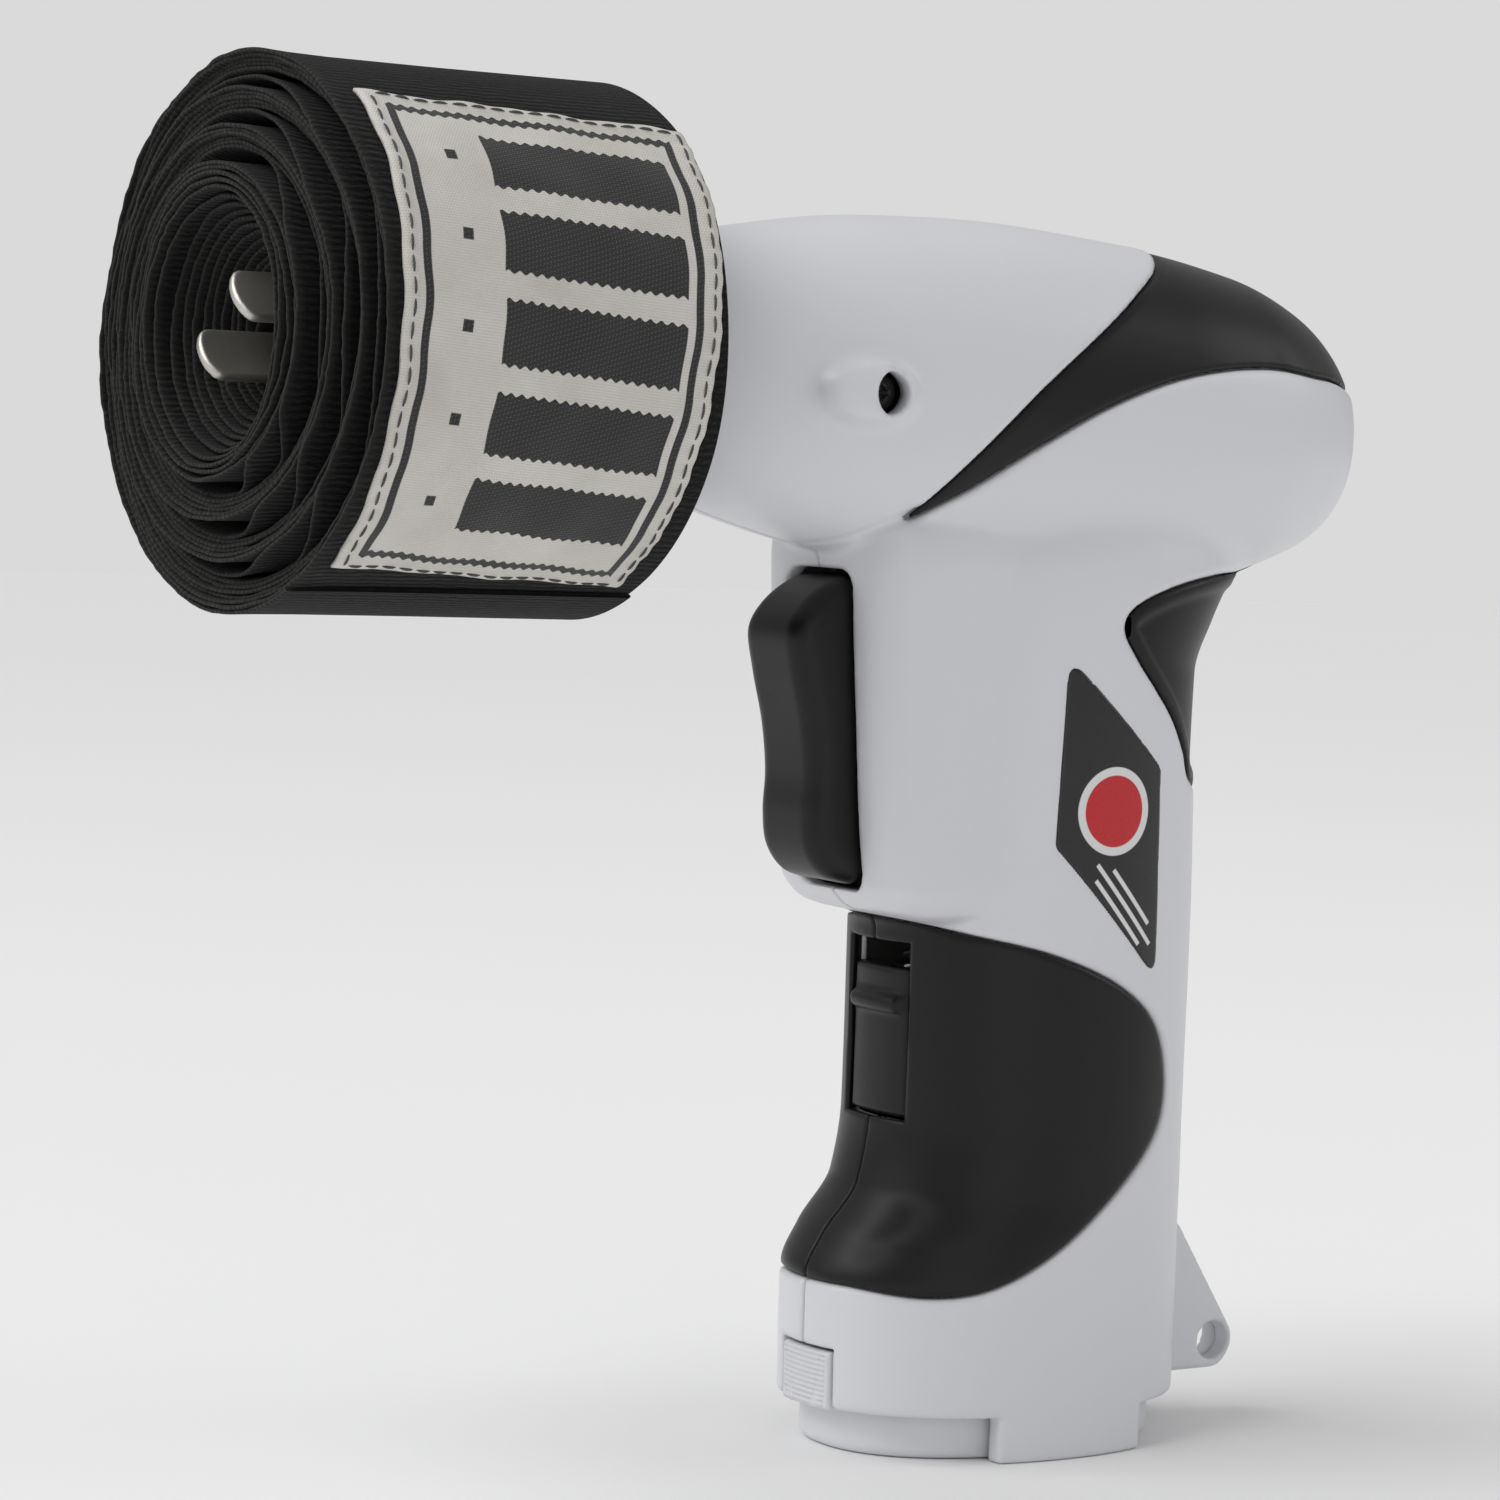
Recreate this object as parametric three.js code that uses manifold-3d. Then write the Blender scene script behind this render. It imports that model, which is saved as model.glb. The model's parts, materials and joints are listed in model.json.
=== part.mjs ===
// Cordless hand-wrap roller: a pistol-shaped battery tool whose forked spindle winds up a cloth
// wrap. Millimetres, +Z up, the spindle points along -Y, +X is the tool's left side, and the
// origin is the centre of the flat underside of the battery cap.
import * as THREE from 'three';
import { mergeVertices } from 'three/addons/utils/BufferGeometryUtils.js';
import Module from 'manifold-3d';

const wasm = await Module();
wasm.setup();

// ---------------------------------------------------------------- driving dimensions
const GAP = 0.3; // clearance between neighbouring pieces
const WALL = 2.6; // moulded shell
const SKIN = 1.2; // black inserts and grip panels
const SPLIT = 0.15; // half of the gap between the two housing halves
const AXIS_Z = 142; // spindle axis height

// Head, front to back: y, top, bottom, half width.
const HEAD = [
  [-67, 151.4, 131.4, 10],
  [-66, 153.4, 129.4, 12.6],
  [-61, 155.8, 125.8, 15.4],
  [-50, 158.2, 121.4, 18],
  [-30, 160.8, 117, 20],
  [-8, 161, 114.6, 20.9],
  [12, 159.4, 113.8, 21],
  [28, 156.8, 114.8, 19.8],
  [38, 153.2, 117.8, 17],
  [45.5, 148, 121.8, 12.6],
  [50, 142.4, 127.8, 6],
];
// Handle, bottom to top: z, front, back, half width.
const HANDLE = [
  [6, -30, 27, 20],
  [23, -30.4, 26.8, 20],
  [28, -28, 26.6, 19.8],
  [35, -22.8, 26.3, 19.5],
  [44, -21.4, 26, 19.5],
  [70, -21.8, 25.8, 19.5],
  [84, -22, 25.3, 19.5],
  [94, -22, 24.9, 19.5],
  [103, -22, 25, 19.5],
  [110, -22, 27.8, 19.5],
  [116, -22, 31, 19.2],
  [124, -22, 34, 17],
];
// Square block that carries the trigger, bottom to top: z, front, half width.
const BLOCK = [
  [69.6, -23.4, 12],
  [71.4, -26.8, 14.8],
  [75, -29.4, 16],
  [96, -31.8, 16],
  [116, -33.4, 16],
  [122, -33.6, 15],
];
const BLOCK_BACK = 4;
const ROUND = 2.2; // superellipse exponents: nearly elliptical, and nearly square
const SQUARE = 5;
const FORM_SIDES = 20; // sides of the faceted sections
const BLOCK_SIDES = 16;
const RIM_Z = 6; // lower edge of the housing
const FOOT = { front: -11.4, back: 12.7, inner: 16.2 };
const LUG = { half: 3, hole: [36.9, 10.2], holeR: 2.65 };
const LUG_OUTLINE = [[24, 27.8], [29.4, 27.8], [40, 11.6], [40.3, 9.4], [37.9, 6.5], [24, 6.1]];

// Side outlines of the inserts: y, z.
const TOP_INSERT = [[-29.4, 122], [-23, 130.2], [-12.1, 140.8], [2.5, 151.3], [10.6, 156.2], [14.6, 160],
  [17, 170], [70, 170], [60, 142], [38, 142.6], [24.3, 143.6], [10.6, 141.9], [-1.8, 137.8],
  [-13.6, 131.7], [-23.6, 125.2]];
const THUMB_REST = [[44, 117.4], [30, 116.6], [20, 116.2], [11.4, 114.7], [4.4, 112], [2.4, 109],
  [4.9, 105], [8.6, 101.1], [12.4, 97.2], [15.6, 93], [19, 88.6], [32, 87.6]];
const GRIP_PANEL = [[-42, 72.4], [-24, 70.4], [-15.4, 68.6], [-5.5, 66.3], [4.6, 62.3], [11.7, 57],
  [14.7, 49.8], [13.5, 42.8], [6.4, 35.1], [-3.1, 27.7], [-12.6, 23], [-20.5, 21.6], [-28.5, 22.4],
  [-42, 25]];
const LABEL = [[-6.2, 103.9], [10.4, 90.6], [10.8, 64.8], [-6.6, 79.5]];

const PIVOT = [-27.5, 95]; // trigger pin: y, z
const PIN = { r: 1.2, half: 12.4 }; // the trigger turns on it
const TRIGGER = { half: 7, top: 114.6, bottom: 74.5 };
const TRIGGER_FRONT = [[-29, 114.6], [-33.6, 114], [-38, 111.2], [-40.5, 107.2], [-39.6, 101.7],
  [-37.8, 95], [-36.9, 88.7], [-37, 83.5], [-36.2, 78.9], [-33.4, 75.6], [-29, 74.5]];
const LATCH = { half: 6.1, bottom: 43.9, top: 63.4, window: 6.5, windowTop: 66.8 };
const TONGUE = { half: 5.2, bottom: 5.7, top: 13.4 };

const CELL = { r: 7.1, length: 50.5, nub: 2.6, pitch: 7.4, y: 2.3 }; // AA cell, two by two
const HOLDER = { half: 15.8, depth: 13, bottom: 7.6, top: 67, plate: 1.5 };

// Teeth, tip and root radii, the carriers' arm, and what is taken off each flank for backlash.
const GEAR = {
  module: 0.5, arm: 7.5, thin: 0.05, sun: 9, sunTip: 2.66, sunRoot: 1.7,
  planet: 21, planetTip: 5.6, planetRoot: 4.5, ring: 51,
};
const STAGE_1 = [-20.6, -14.6]; // gear faces along y
const STAGE_2 = [-30, -24];
const MOTOR = { front: -11.9, back: 19, r: 12, wall: 1 };
const SHAFT_R = 4;
const NOSE_R = 8; // hole in the front of the housing

const FORK = { tip: -121.6, base: -69.4, width: 7.5, thick: 1.2, pitch: 10.5, tilt: 42, tipR: 6 };
const WRAP = { front: -120.8, back: -70, r: 32.6, bore: 7.4, core: -112 };
const PATCH = { front: -116.4, back: -73, r: 33.3, thick: 0.4, arc: 56 };

// Raised boss around the side screw, an ellipsoid a little ahead of it.
const EYE = { y: -37.5, z: 137.9, r: 2.65, bossX: 16.4, ahead: 2.6, half: [6.4, 8.4, 4.7], seat: 16.9 };
const NOSE_BORE = { front: -60, back: -45, r: 5.9 }; // of the gearbox nose, for the bushing
const SCREW_HOLE_R = 1.7;
const FAR = 40; // past the handle's sides, for outlines that are cut right through
const RIGHT_SCREWS = [[40, 128], [-20, 79], [18, 80], [-20.5, 16]]; // y, z
const SCREW = { headR: 2.4, headH: 1.8, shankR: 1.35 };

// ---------------------------------------------------------------- materials
function plastic(color, roughness) {
  return new THREE.MeshStandardMaterial({ color, roughness, metalness: 0 });
}
function metal(color, roughness) {
  return new THREE.MeshStandardMaterial({ color, roughness, metalness: 1 });
}
const WHITE = plastic('#e6e8ee', 0.4);
const BLACK = plastic('#121214', 0.35);
const NYLON = plastic('#d9d4c4', 0.6);
const DARK = plastic('#2c2c30', 0.6);
const STEEL = metal('#b9bbbe', 0.35);
const SPRING_STEEL = metal('#8f9296', 0.3);
const BRASS = metal('#c6a15b', 0.4);
const BRONZE = metal('#a9794a', 0.5);
const CELL_SLEEVE = plastic('#3f5a78', 0.4);
const CLOTH = plastic('#0d0d0e', 0.95);
const WOVEN = plastic('#dcd8cf', 0.9);
const BOARD = plastic('#2f6b45', 0.7);
const COPPER_RED = plastic('#a4262b', 0.5);

// ---------------------------------------------------------------- solids
function toSolid(geometry) {
  const bare = geometry.clone();
  bare.deleteAttribute('normal');
  bare.deleteAttribute('uv');
  const merged = mergeVertices(bare, 1e-5);
  const vertProperties = new Float32Array(merged.attributes.position.array);
  const triVerts = new Uint32Array(merged.index.array);
  return new wasm.Manifold(new wasm.Mesh({ numProp: 3, vertProperties, triVerts }));
}

function toGeometry(solid) {
  const mesh = solid.getMesh();
  const geometry = new THREE.BufferGeometry();
  geometry.setAttribute('position', new THREE.BufferAttribute(mesh.vertProperties, 3));
  geometry.setIndex(new THREE.BufferAttribute(mesh.triVerts, 1));
  geometry.computeVertexNormals();
  return geometry;
}

const join = (...solids) => solids.reduce((a, b) => a.add(b));
const cut = (first, ...rest) => rest.reduce((a, b) => a.subtract(b), first);

function box(x0, x1, y0, y1, z0, z1) {
  const geometry = new THREE.BoxGeometry(x1 - x0, y1 - y0, z1 - z0);
  geometry.translate((x0 + x1) / 2, (y0 + y1) / 2, (z0 + z1) / 2);
  return toSolid(geometry);
}

// A round bar or disc along one axis, between two places on it.
function bar(axis, r, from, to, at = [0, 0, 0], sides = 24) {
  const geometry = new THREE.CylinderGeometry(r, r, to - from, sides);
  geometry.translate(0, (from + to) / 2, 0);
  if (axis === 'x') geometry.rotateZ(-Math.PI / 2);
  if (axis === 'z') geometry.rotateX(Math.PI / 2);
  geometry.translate(...at);
  return toSolid(geometry);
}

// A turned shape about the spindle axis: profile points are [radius, y].
function turned(profile, sides = 32) {
  const points = profile.map(([r, y]) => new THREE.Vector2(r, y));
  const geometry = new THREE.LatheGeometry(points, sides);
  geometry.translate(0, 0, AXIS_Z);
  return toSolid(geometry);
}

// A side outline (y, z) extruded along x.
function sidePrism(outline, x0, x1) {
  const shape = new THREE.Shape(outline.map(([y, z]) => new THREE.Vector2(y, z)));
  const geometry = new THREE.ExtrudeGeometry(shape, { depth: x1 - x0, bevelEnabled: false });
  geometry.translate(0, 0, x0);
  const yzx = new THREE.Matrix4().set(0, 0, 1, 0, 1, 0, 0, 0, 0, 1, 0, 0, 0, 0, 0, 1);
  return toSolid(geometry.applyMatrix4(yzx));
}

// A closed side outline smoothed by a spline through its points.
function smoothOutline(points, count) {
  const loop = points.map(([y, z]) => new THREE.Vector3(y, z, 0));
  const curve = new THREE.CatmullRomCurve3(loop, false, 'centripetal');
  return curve.getPoints(count).map((p) => [p.x, p.y]);
}

function superellipse(a, b, exponent, sides) {
  const power = (v) => Math.sign(v) * Math.abs(v) ** (2 / exponent);
  return Array.from({ length: sides }, (_, i) => {
    const angle = (2 * Math.PI * i) / sides;
    return [a * power(Math.cos(angle)), b * power(Math.sin(angle))];
  });
}

// A closed body through rings of points that all have the same number of points.
function loft(rings) {
  const n = rings[0].length;
  const position = rings.flat(2);
  const index = [];
  for (let r = 0; r < rings.length - 1; r += 1) {
    for (let i = 0; i < n; i += 1) {
      const [a, b] = [r * n + i, r * n + ((i + 1) % n)];
      index.push(a, b, b + n, a, b + n, a + n);
    }
  }
  const last = (rings.length - 1) * n;
  for (let i = 1; i < n - 1; i += 1) {
    index.push(0, i + 1, i, last, last + i, last + i + 1);
  }
  const geometry = new THREE.BufferGeometry();
  geometry.setAttribute('position', new THREE.Float32BufferAttribute(position, 3));
  geometry.setIndex(index);
  return toSolid(geometry);
}

// ---------------------------------------------------------------- outer form of the tool
// Each form can be shrunk by an inset, which makes the cavity and the recesses.
function headForm(inset) {
  const rows = HEAD.map(([y, top, bottom, half], i, all) => {
    const shift = i === 0 ? inset : i === all.length - 1 ? -inset : 0;
    return [y + shift, top - inset, bottom + inset, half - inset];
  });
  const kept = rows.filter(([, top, bottom, half]) => top - bottom > 2 && half > 1);
  const rings = kept.map(([y, top, bottom, half]) => {
    const ring = superellipse(half, (top - bottom) / 2, ROUND, FORM_SIDES);
    return ring.map(([x, z]) => [x, y, z + (top + bottom) / 2]).reverse();
  });
  return loft(rings);
}

function handleForm(inset, floor = RIM_Z) {
  const rows = HANDLE.map((row, i) => (i === 0 ? [floor, ...row.slice(1)] : row));
  const rings = rows.map(([z, front, back, half]) => {
    const ring = superellipse(half - inset, (back - front) / 2 - inset, ROUND, FORM_SIDES);
    return ring.map(([x, y]) => [x, y + (front + back) / 2, z]);
  });
  return loft(rings);
}

// The handle's narrowest section as a straight column, for what slides down through it.
function column(inset) {
  const [, front, back, half] = HANDLE[4];
  const ring = superellipse(half - inset, (back - front) / 2 - inset, ROUND, FORM_SIDES);
  const at = (z) => ring.map(([x, y]) => [x, y + (front + back) / 2, z]);
  return loft([at(0), at(HOLDER.top + 1)]);
}

function blockForm(inset) {
  const rings = BLOCK.map(([z, front, half], i) => {
    const ring = superellipse(half - inset, (BLOCK_BACK - front) / 2 - inset, SQUARE, BLOCK_SIDES);
    return ring.map(([x, y]) => [x, y + (front + BLOCK_BACK) / 2, z + (i === 0 ? inset : 0)]);
  });
  return loft(rings);
}

const toolForm = (inset, floor) => join(headForm(inset), handleForm(inset, floor), blockForm(inset));

// The band between two insets of the form that lies inside a side outline.
function skinPiece(outline, outer, inner, x0, x1) {
  return cut(toolForm(outer).intersect(sidePrism(outline, x0, x1)), toolForm(inner));
}

// ---------------------------------------------------------------- housing
function eyeBoss(side) {
  const geometry = new THREE.SphereGeometry(1, 12, 8);
  geometry.scale(...EYE.half);
  geometry.translate(side * EYE.bossX, EYE.y - EYE.ahead, EYE.z);
  return toSolid(geometry);
}

function feet() {
  const base = handleForm(0, 0);
  const left = box(FOOT.inner, FAR, FOOT.front, FOOT.back, 0, RIM_Z + 1);
  const right = box(-FAR, -FOOT.inner, FOOT.front, FOOT.back, 0, RIM_Z + 1);
  return base.intersect(join(left, right));
}

function lanyardLug() {
  return sidePrism(LUG_OUTLINE, -LUG.half, LUG.half);
}

function screwPost([y, z]) {
  const [r, reach] = [3.2, 19];
  return bar('x', r, -reach, reach, [0, y, z], 10);
}

function pivotPost() {
  const [r, reach] = [3, 14.6];
  return bar('x', r, -reach, reach, [0, ...PIVOT], 10);
}

function latchWindow(front, back) {
  return box(-LATCH.window, LATCH.window, front, back, LATCH.bottom - 0.4, LATCH.windowTop);
}

// Everything the shell is cut by: openings, recesses, holes.
function housingCuts() {
  const ahead = -46; // in front of everything on the handle
  const clear = 0.45;
  const labelDepth = 0.6;
  const hubRoom = { half: 9.2, front: -29.2, high: 5 };
  const recess = (outline) => cut(sidePrism(outline, -FAR, FAR), toolForm(SKIN + GAP));
  const cutters = [
    bar('y', NOSE_R, -70, -55, [0, 0, AXIS_Z]),
    box(-TRIGGER.half - clear, TRIGGER.half + clear, ahead, -19, TRIGGER.bottom - 0.7, TRIGGER.top + 0.7),
    latchWindow(ahead, -13),
    box(-TONGUE.half - clear, TONGUE.half + clear, ahead, -20, 0, TONGUE.top + clear),
    recess(TOP_INSERT),
    recess(THUMB_REST),
    recess(GRIP_PANEL),
    sidePrism(LABEL, 10, FAR).subtract(toolForm(labelDepth)),
    bar('x', LUG.holeR, -3 * LUG.half, 3 * LUG.half, [0, ...LUG.hole], 14),
    bar('x', PIN.r + 0.1, -PIN.half - GAP, PIN.half + GAP, [0, ...PIVOT], 16),
    box(-hubRoom.half, hubRoom.half, hubRoom.front, 0, PIVOT[1] - hubRoom.high, PIVOT[1] + hubRoom.high),
    bar('x', SCREW_HOLE_R, -EYE.seat, -8, [0, EYE.y, EYE.z], 10),
    bar('x', SCREW_HOLE_R, 8, EYE.seat, [0, EYE.y, EYE.z], 10),
    bar('x', EYE.r, -FAR, GAP - EYE.seat, [0, EYE.y, EYE.z], 14),
    bar('x', EYE.r, EYE.seat - GAP, FAR, [0, EYE.y, EYE.z], 14),
  ];
  for (const at of RIGHT_SCREWS) {
    cutters.push(bar('x', 1.8, -30, 8, [0, ...at], 10));
    cutters.push(bar('x', SCREW.headR + GAP, -30, -seatDepth(at), [0, ...at], 12));
  }
  return cutters;
}

// How far from the middle plane each right-hand screw's head is seated.
function seatDepth([y]) {
  return y > 30 ? 9 : 12.5;
}

function housing() {
  const shell = cut(toolForm(0), toolForm(WALL, -1));
  const cavityRib = box(-6, 6, -19.4, -13.4, 69.4, 70.9);
  const inside = join(...RIGHT_SCREWS.map((at) => screwPost(at)), pivotPost(), cavityRib);
  const trimmed = inside.intersect(toolForm(WALL / 2));
  const body = join(shell, trimmed, eyeBoss(1).subtract(toolForm(WALL)), feet(),
    eyeBoss(-1).subtract(toolForm(WALL)), cut(lanyardLug(), toolForm(WALL, -1)));
  return cut(body, ...housingCuts());
}

function largestBody(solid) {
  const parts = solid.decompose();
  return parts.reduce((a, b) => (a.volume() > b.volume() ? a : b));
}

// ---------------------------------------------------------------- inserts, panels, label
// A closed side outline moved outward by an amount, or inward where it is negative.
function grownOutline(outline, amount) {
  const n = outline.length;
  const next = (i) => outline[(i + 1) % n];
  const area = outline.reduce((sum, [y, z], i) => sum + y * next(i)[1] - next(i)[0] * z, 0);
  const normals = outline.map(([y, z], i) => {
    const [dy, dz] = [next(i)[0] - y, next(i)[1] - z];
    const length = Math.sign(area) * Math.hypot(dy, dz);
    return [dz / length, -dy / length];
  });
  return outline.map(([y, z], i) => {
    const [before, after] = [normals[(i + n - 1) % n], normals[i]];
    const reach = amount / (1 + before[0] * after[0] + before[1] * after[1]);
    return [y + (before[0] + after[0]) * reach, z + (before[1] + after[1]) * reach];
  });
}

function topInsert() {
  return largestBody(skinPiece(grownOutline(TOP_INSERT, -GAP), 0, SKIN, -FAR, FAR));
}

function thumbRest() {
  return largestBody(skinPiece(grownOutline(THUMB_REST, -GAP), 0, SKIN, -FAR, FAR));
}

function gripPanel(side) {
  const [x0, x1] = side > 0 ? [SPLIT, FAR] : [-FAR, -SPLIT];
  const skin = skinPiece(grownOutline(GRIP_PANEL, -GAP), 0, SKIN, x0, x1);
  return largestBody(cut(skin, latchWindow(-FAR, -10)));
}

function labelSticker() {
  const thick = 0.3;
  const outline = grownOutline(LABEL, -0.35);
  const band = toolForm(0).intersect(sidePrism(outline, 10, FAR));
  return largestBody(band.subtract(toolForm(thick)));
}

// ---------------------------------------------------------------- trigger and switch
function trigger() {
  const outline = [...smoothOutline(TRIGGER_FRONT, 22), [-26.4, 76], [-26.4, 113]];
  const rocker = sidePrism(outline, -TRIGGER.half, TRIGGER.half);
  const hub = bar('x', 3, -TRIGGER.half, TRIGGER.half, [0, ...PIVOT], 20);
  const arm = box(-2, 2, PIVOT[0], -16.9, PIVOT[1] - 1.5, PIVOT[1] + 1.5);
  const pinHole = bar('x', 1.32, -9, 9, [0, ...PIVOT], 16);
  const springRoom = bar('x', 3.3, 2.6, 6.2, [0, ...PIVOT], 16);
  const springSlot = box(2.6, 6.2, PIVOT[0], -22, PIVOT[1] - 3.2, PIVOT[1] + 3.2);
  return cut(join(rocker, hub, arm), pinHole, springRoom, springSlot);
}

// A wire swept along a coil, with a round start and finish lying flat.
function coil(radius, wire, height, turns, sides = 6, steps = 10) {
  const points = [];
  for (let i = 0; i <= turns * steps; i += 1) {
    const angle = (2 * Math.PI * i) / steps;
    const rise = wire + (height - 2 * wire) * (i / (turns * steps));
    points.push(new THREE.Vector3(radius * Math.cos(angle), radius * Math.sin(angle), rise));
  }
  const ring = superellipse(wire, wire, 2, sides).map(([x, y]) => new THREE.Vector2(x, y));
  const path = new THREE.CatmullRomCurve3(points, false, 'centripetal');
  const options = { steps: turns * steps, bevelEnabled: false, extrudePath: path };
  return new THREE.ExtrudeGeometry(new THREE.Shape(ring), options);
}

function triggerSpring() {
  const geometry = coil(2.15, 0.35, 3, 3, 5, 8);
  geometry.rotateY(Math.PI / 2);
  geometry.translate(2.9, ...PIVOT);
  return toSolid(geometry);
}

function switchKnob() {
  const knob = box(-2, 2, -19, -13, PIVOT[1] - 4, PIVOT[1] + 4);
  return cut(knob, box(-3, 3, -20, -16.2, PIVOT[1] - 2.1, PIVOT[1] + 2.1));
}

function switchBody() {
  const body = box(-6, 6, -14.8, -8, PIVOT[1] - 9, PIVOT[1] + 9);
  return cut(body, box(-2.5, 2.5, -16, -12.4, PIVOT[1] - 5.2, PIVOT[1] + 5.2));
}

// ---------------------------------------------------------------- latch
function latchSlider() {
  const face = handleForm(0.6).intersect(
    box(-LATCH.half, LATCH.half, -30, -15.6, LATCH.bottom, LATCH.top));
  const flange = box(-8.4, 8.4, -15.8, -14.4, 47, 61);
  const ridge = bar('x', 1.1, -5.2, 5.2, [0, -21, 58.6], 12);
  const springPocket = box(-1.8, 1.8, -17.2, -14, 61, 64);
  return cut(join(face, flange, ridge), springPocket);
}

function latchSpring() {
  const geometry = coil(1.15, 0.25, 7.4, 4, 4, 8);
  geometry.translate(0, -15.2, 61.5);
  return toSolid(geometry);
}

// ---------------------------------------------------------------- battery pack
function batteryCap() {
  const inset = WALL + 0.5;
  const footing = handleForm(5.2, 0).intersect(box(-30, 30, -40, 40, 0, RIM_Z));
  const plug = handleForm(inset, 4).intersect(box(-30, 30, -40, 40, 4, HOLDER.bottom - GAP));
  const clearOfFeet = box(-FOOT.inner + GAP, FOOT.inner - GAP, -40, 40, -1, HOLDER.bottom);
  const front = handleForm(0, 0).intersect(
    box(-TONGUE.half, TONGUE.half, -40, -28.2, TONGUE.bottom, TONGUE.top));
  const arm = box(-TONGUE.half, TONGUE.half, -28.6, -20, TONGUE.bottom, HOLDER.bottom - GAP);
  const ribs = Array.from({ length: 7 }, (_, i) => {
    const z = TONGUE.bottom + 1 + i * 0.95;
    return box(-TONGUE.half + 0.4, TONGUE.half - 0.4, -31, -29.7, z - 0.2, z + 0.2);
  });
  const body = join(footing, plug).intersect(clearOfFeet);
  return join(body, front, arm, ...ribs);
}

function batteryHolder() {
  const { half, bottom, top, plate, depth } = HOLDER;
  const [y0, y1] = [CELL.y - depth, CELL.y + depth];
  const floors = join(box(-half, half, y0, y1, bottom, bottom + plate),
    box(-half, half, y0, y1, top - plate, top));
  const fitted = floors.intersect(column(WALL + 0.5));
  const walls = [half - 1, -half].map((x) => box(x, x + 1, CELL.y - 6, CELL.y + 6, bottom, top));
  return join(fitted, ...walls);
}

// An AA cell: sleeve, shoulder and positive nub; up says which way the nub points.
function cell(x, y, up) {
  const { r, length, nub } = CELL;
  const profile = [[0, 0], [r - 0.6, 0], [r, 0.6], [r, length - 2.4], [r - 0.8, length - 1.5],
    [nub, length - 1.5], [nub, length], [0, length]];
  const geometry = new THREE.LatheGeometry(profile.map(([a, b]) => new THREE.Vector2(a, b)), 16);
  geometry.rotateX(Math.PI / 2);
  if (!up) geometry.rotateX(Math.PI);
  geometry.translate(x, y, up ? cellFloor(up) : cellFloor(up) + length);
  return toSolid(geometry);
}

const cellFloor = (up) => HOLDER.bottom + HOLDER.plate + (up ? 4.2 : 0.7);

function cellSpring(x, y, up) {
  const geometry = coil(3, 0.4, 3.6, 2, 5, 8);
  const z = up ? cellFloor(up) - 3.9 : cellFloor(up) + CELL.length + 0.3;
  geometry.translate(x, y, z);
  return toSolid(geometry);
}

function contactBoard() {
  return handleForm(WALL + 0.8).intersect(box(-12, 12, -8, 16, 71.3, 72.8));
}

function contactBlade(side) {
  const y = CELL.y + side * 6;
  return join(box(-2.5, 2.5, y - 0.3, y + 0.3, 68, 71), box(-2.5, 2.5, y - 0.3, y + 2, 67.4, 68));
}

// ---------------------------------------------------------------- gears
// Outline of a spur gear with involute flanks; thin is taken off each flank for backlash.
function gearOutline(teeth, tip, root, thin, phase = 0) {
  const pitchR = (GEAR.module * teeth) / 2;
  const baseR = pitchR * Math.cos(THREE.MathUtils.degToRad(20));
  const involute = (r) => {
    const a = Math.acos(Math.min(1, baseR / r));
    return Math.tan(a) - a;
  };
  const atPitch = Math.PI / (2 * teeth) - thin / pitchR + involute(pitchR);
  const halfAt = (r) => atPitch - involute(Math.max(r, baseR));
  const radii = teeth === GEAR.sun ? [root, pitchR, tip] : [root, tip];
  const points = [];
  for (let k = 0; k < teeth; k += 1) {
    const middle = (2 * Math.PI * k) / teeth + phase;
    for (const r of radii) points.push([r, middle - halfAt(r)]);
    for (const r of [...radii].reverse()) points.push([r, middle + halfAt(r)]);
  }
  return points.map(([r, a]) => new THREE.Vector2(r * Math.cos(a), r * Math.sin(a)));
}

// A flat outline standing across the spindle axis, thickened along y.
function acrossSpindle(shape, y0, y1, centre = [0, 0]) {
  const geometry = new THREE.ExtrudeGeometry(shape, { depth: y1 - y0, bevelEnabled: false });
  geometry.rotateX(-Math.PI / 2);
  geometry.translate(centre[0], y0, AXIS_Z - centre[1]);
  return toSolid(geometry);
}

function sunGear(y0, y1) {
  const { sun, sunTip, sunRoot, thin } = GEAR;
  return acrossSpindle(new THREE.Shape(gearOutline(sun, sunTip, sunRoot, thin)), y0, y1);
}

const planetAt = (k) => {
  const angle = (2 * Math.PI * k) / 3;
  return [GEAR.arm * Math.cos(angle), GEAR.arm * Math.sin(angle)];
};

function planetGear(k, [y0, y1]) {
  const phase = (2 * Math.PI * k) / 3 + Math.PI - Math.PI / GEAR.planet;
  const { planet, planetTip, planetRoot, thin } = GEAR;
  const shape = new THREE.Shape(gearOutline(planet, planetTip, planetRoot, thin, phase));
  const [x, y] = planetAt(k);
  const hole = bar('y', 1.4, y0 - 1, y1 + 1, [x, 0, AXIS_Z - y], 14);
  return cut(acrossSpindle(shape, y0, y1, [x, y]), hole);
}

function ringGear() {
  const [root, tip] = [{ r: 13.4, half: 0.5 }, { r: 12.4, half: 0.15 }];
  const points = [];
  for (let k = 0; k < GEAR.ring; k += 1) {
    const middle = (2 * Math.PI * (k + 0.5)) / GEAR.ring;
    for (const { r, half } of [root, tip]) points.push([r, middle - half / r]);
    for (const { r, half } of [tip, root]) points.push([r, middle + half / r]);
  }
  const hole = new THREE.Shape(points.map(([r, a]) => new THREE.Vector2(r * Math.cos(a), r * Math.sin(a))));
  const [y0, y1] = [STAGE_2[0] - 3.5, STAGE_1[1] + 0.5];
  return cut(bar('y', 14.6, y0, y1, [0, 0, AXIS_Z], 40), acrossSpindle(hole, y0 - 1, y1 + 1));
}

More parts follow.
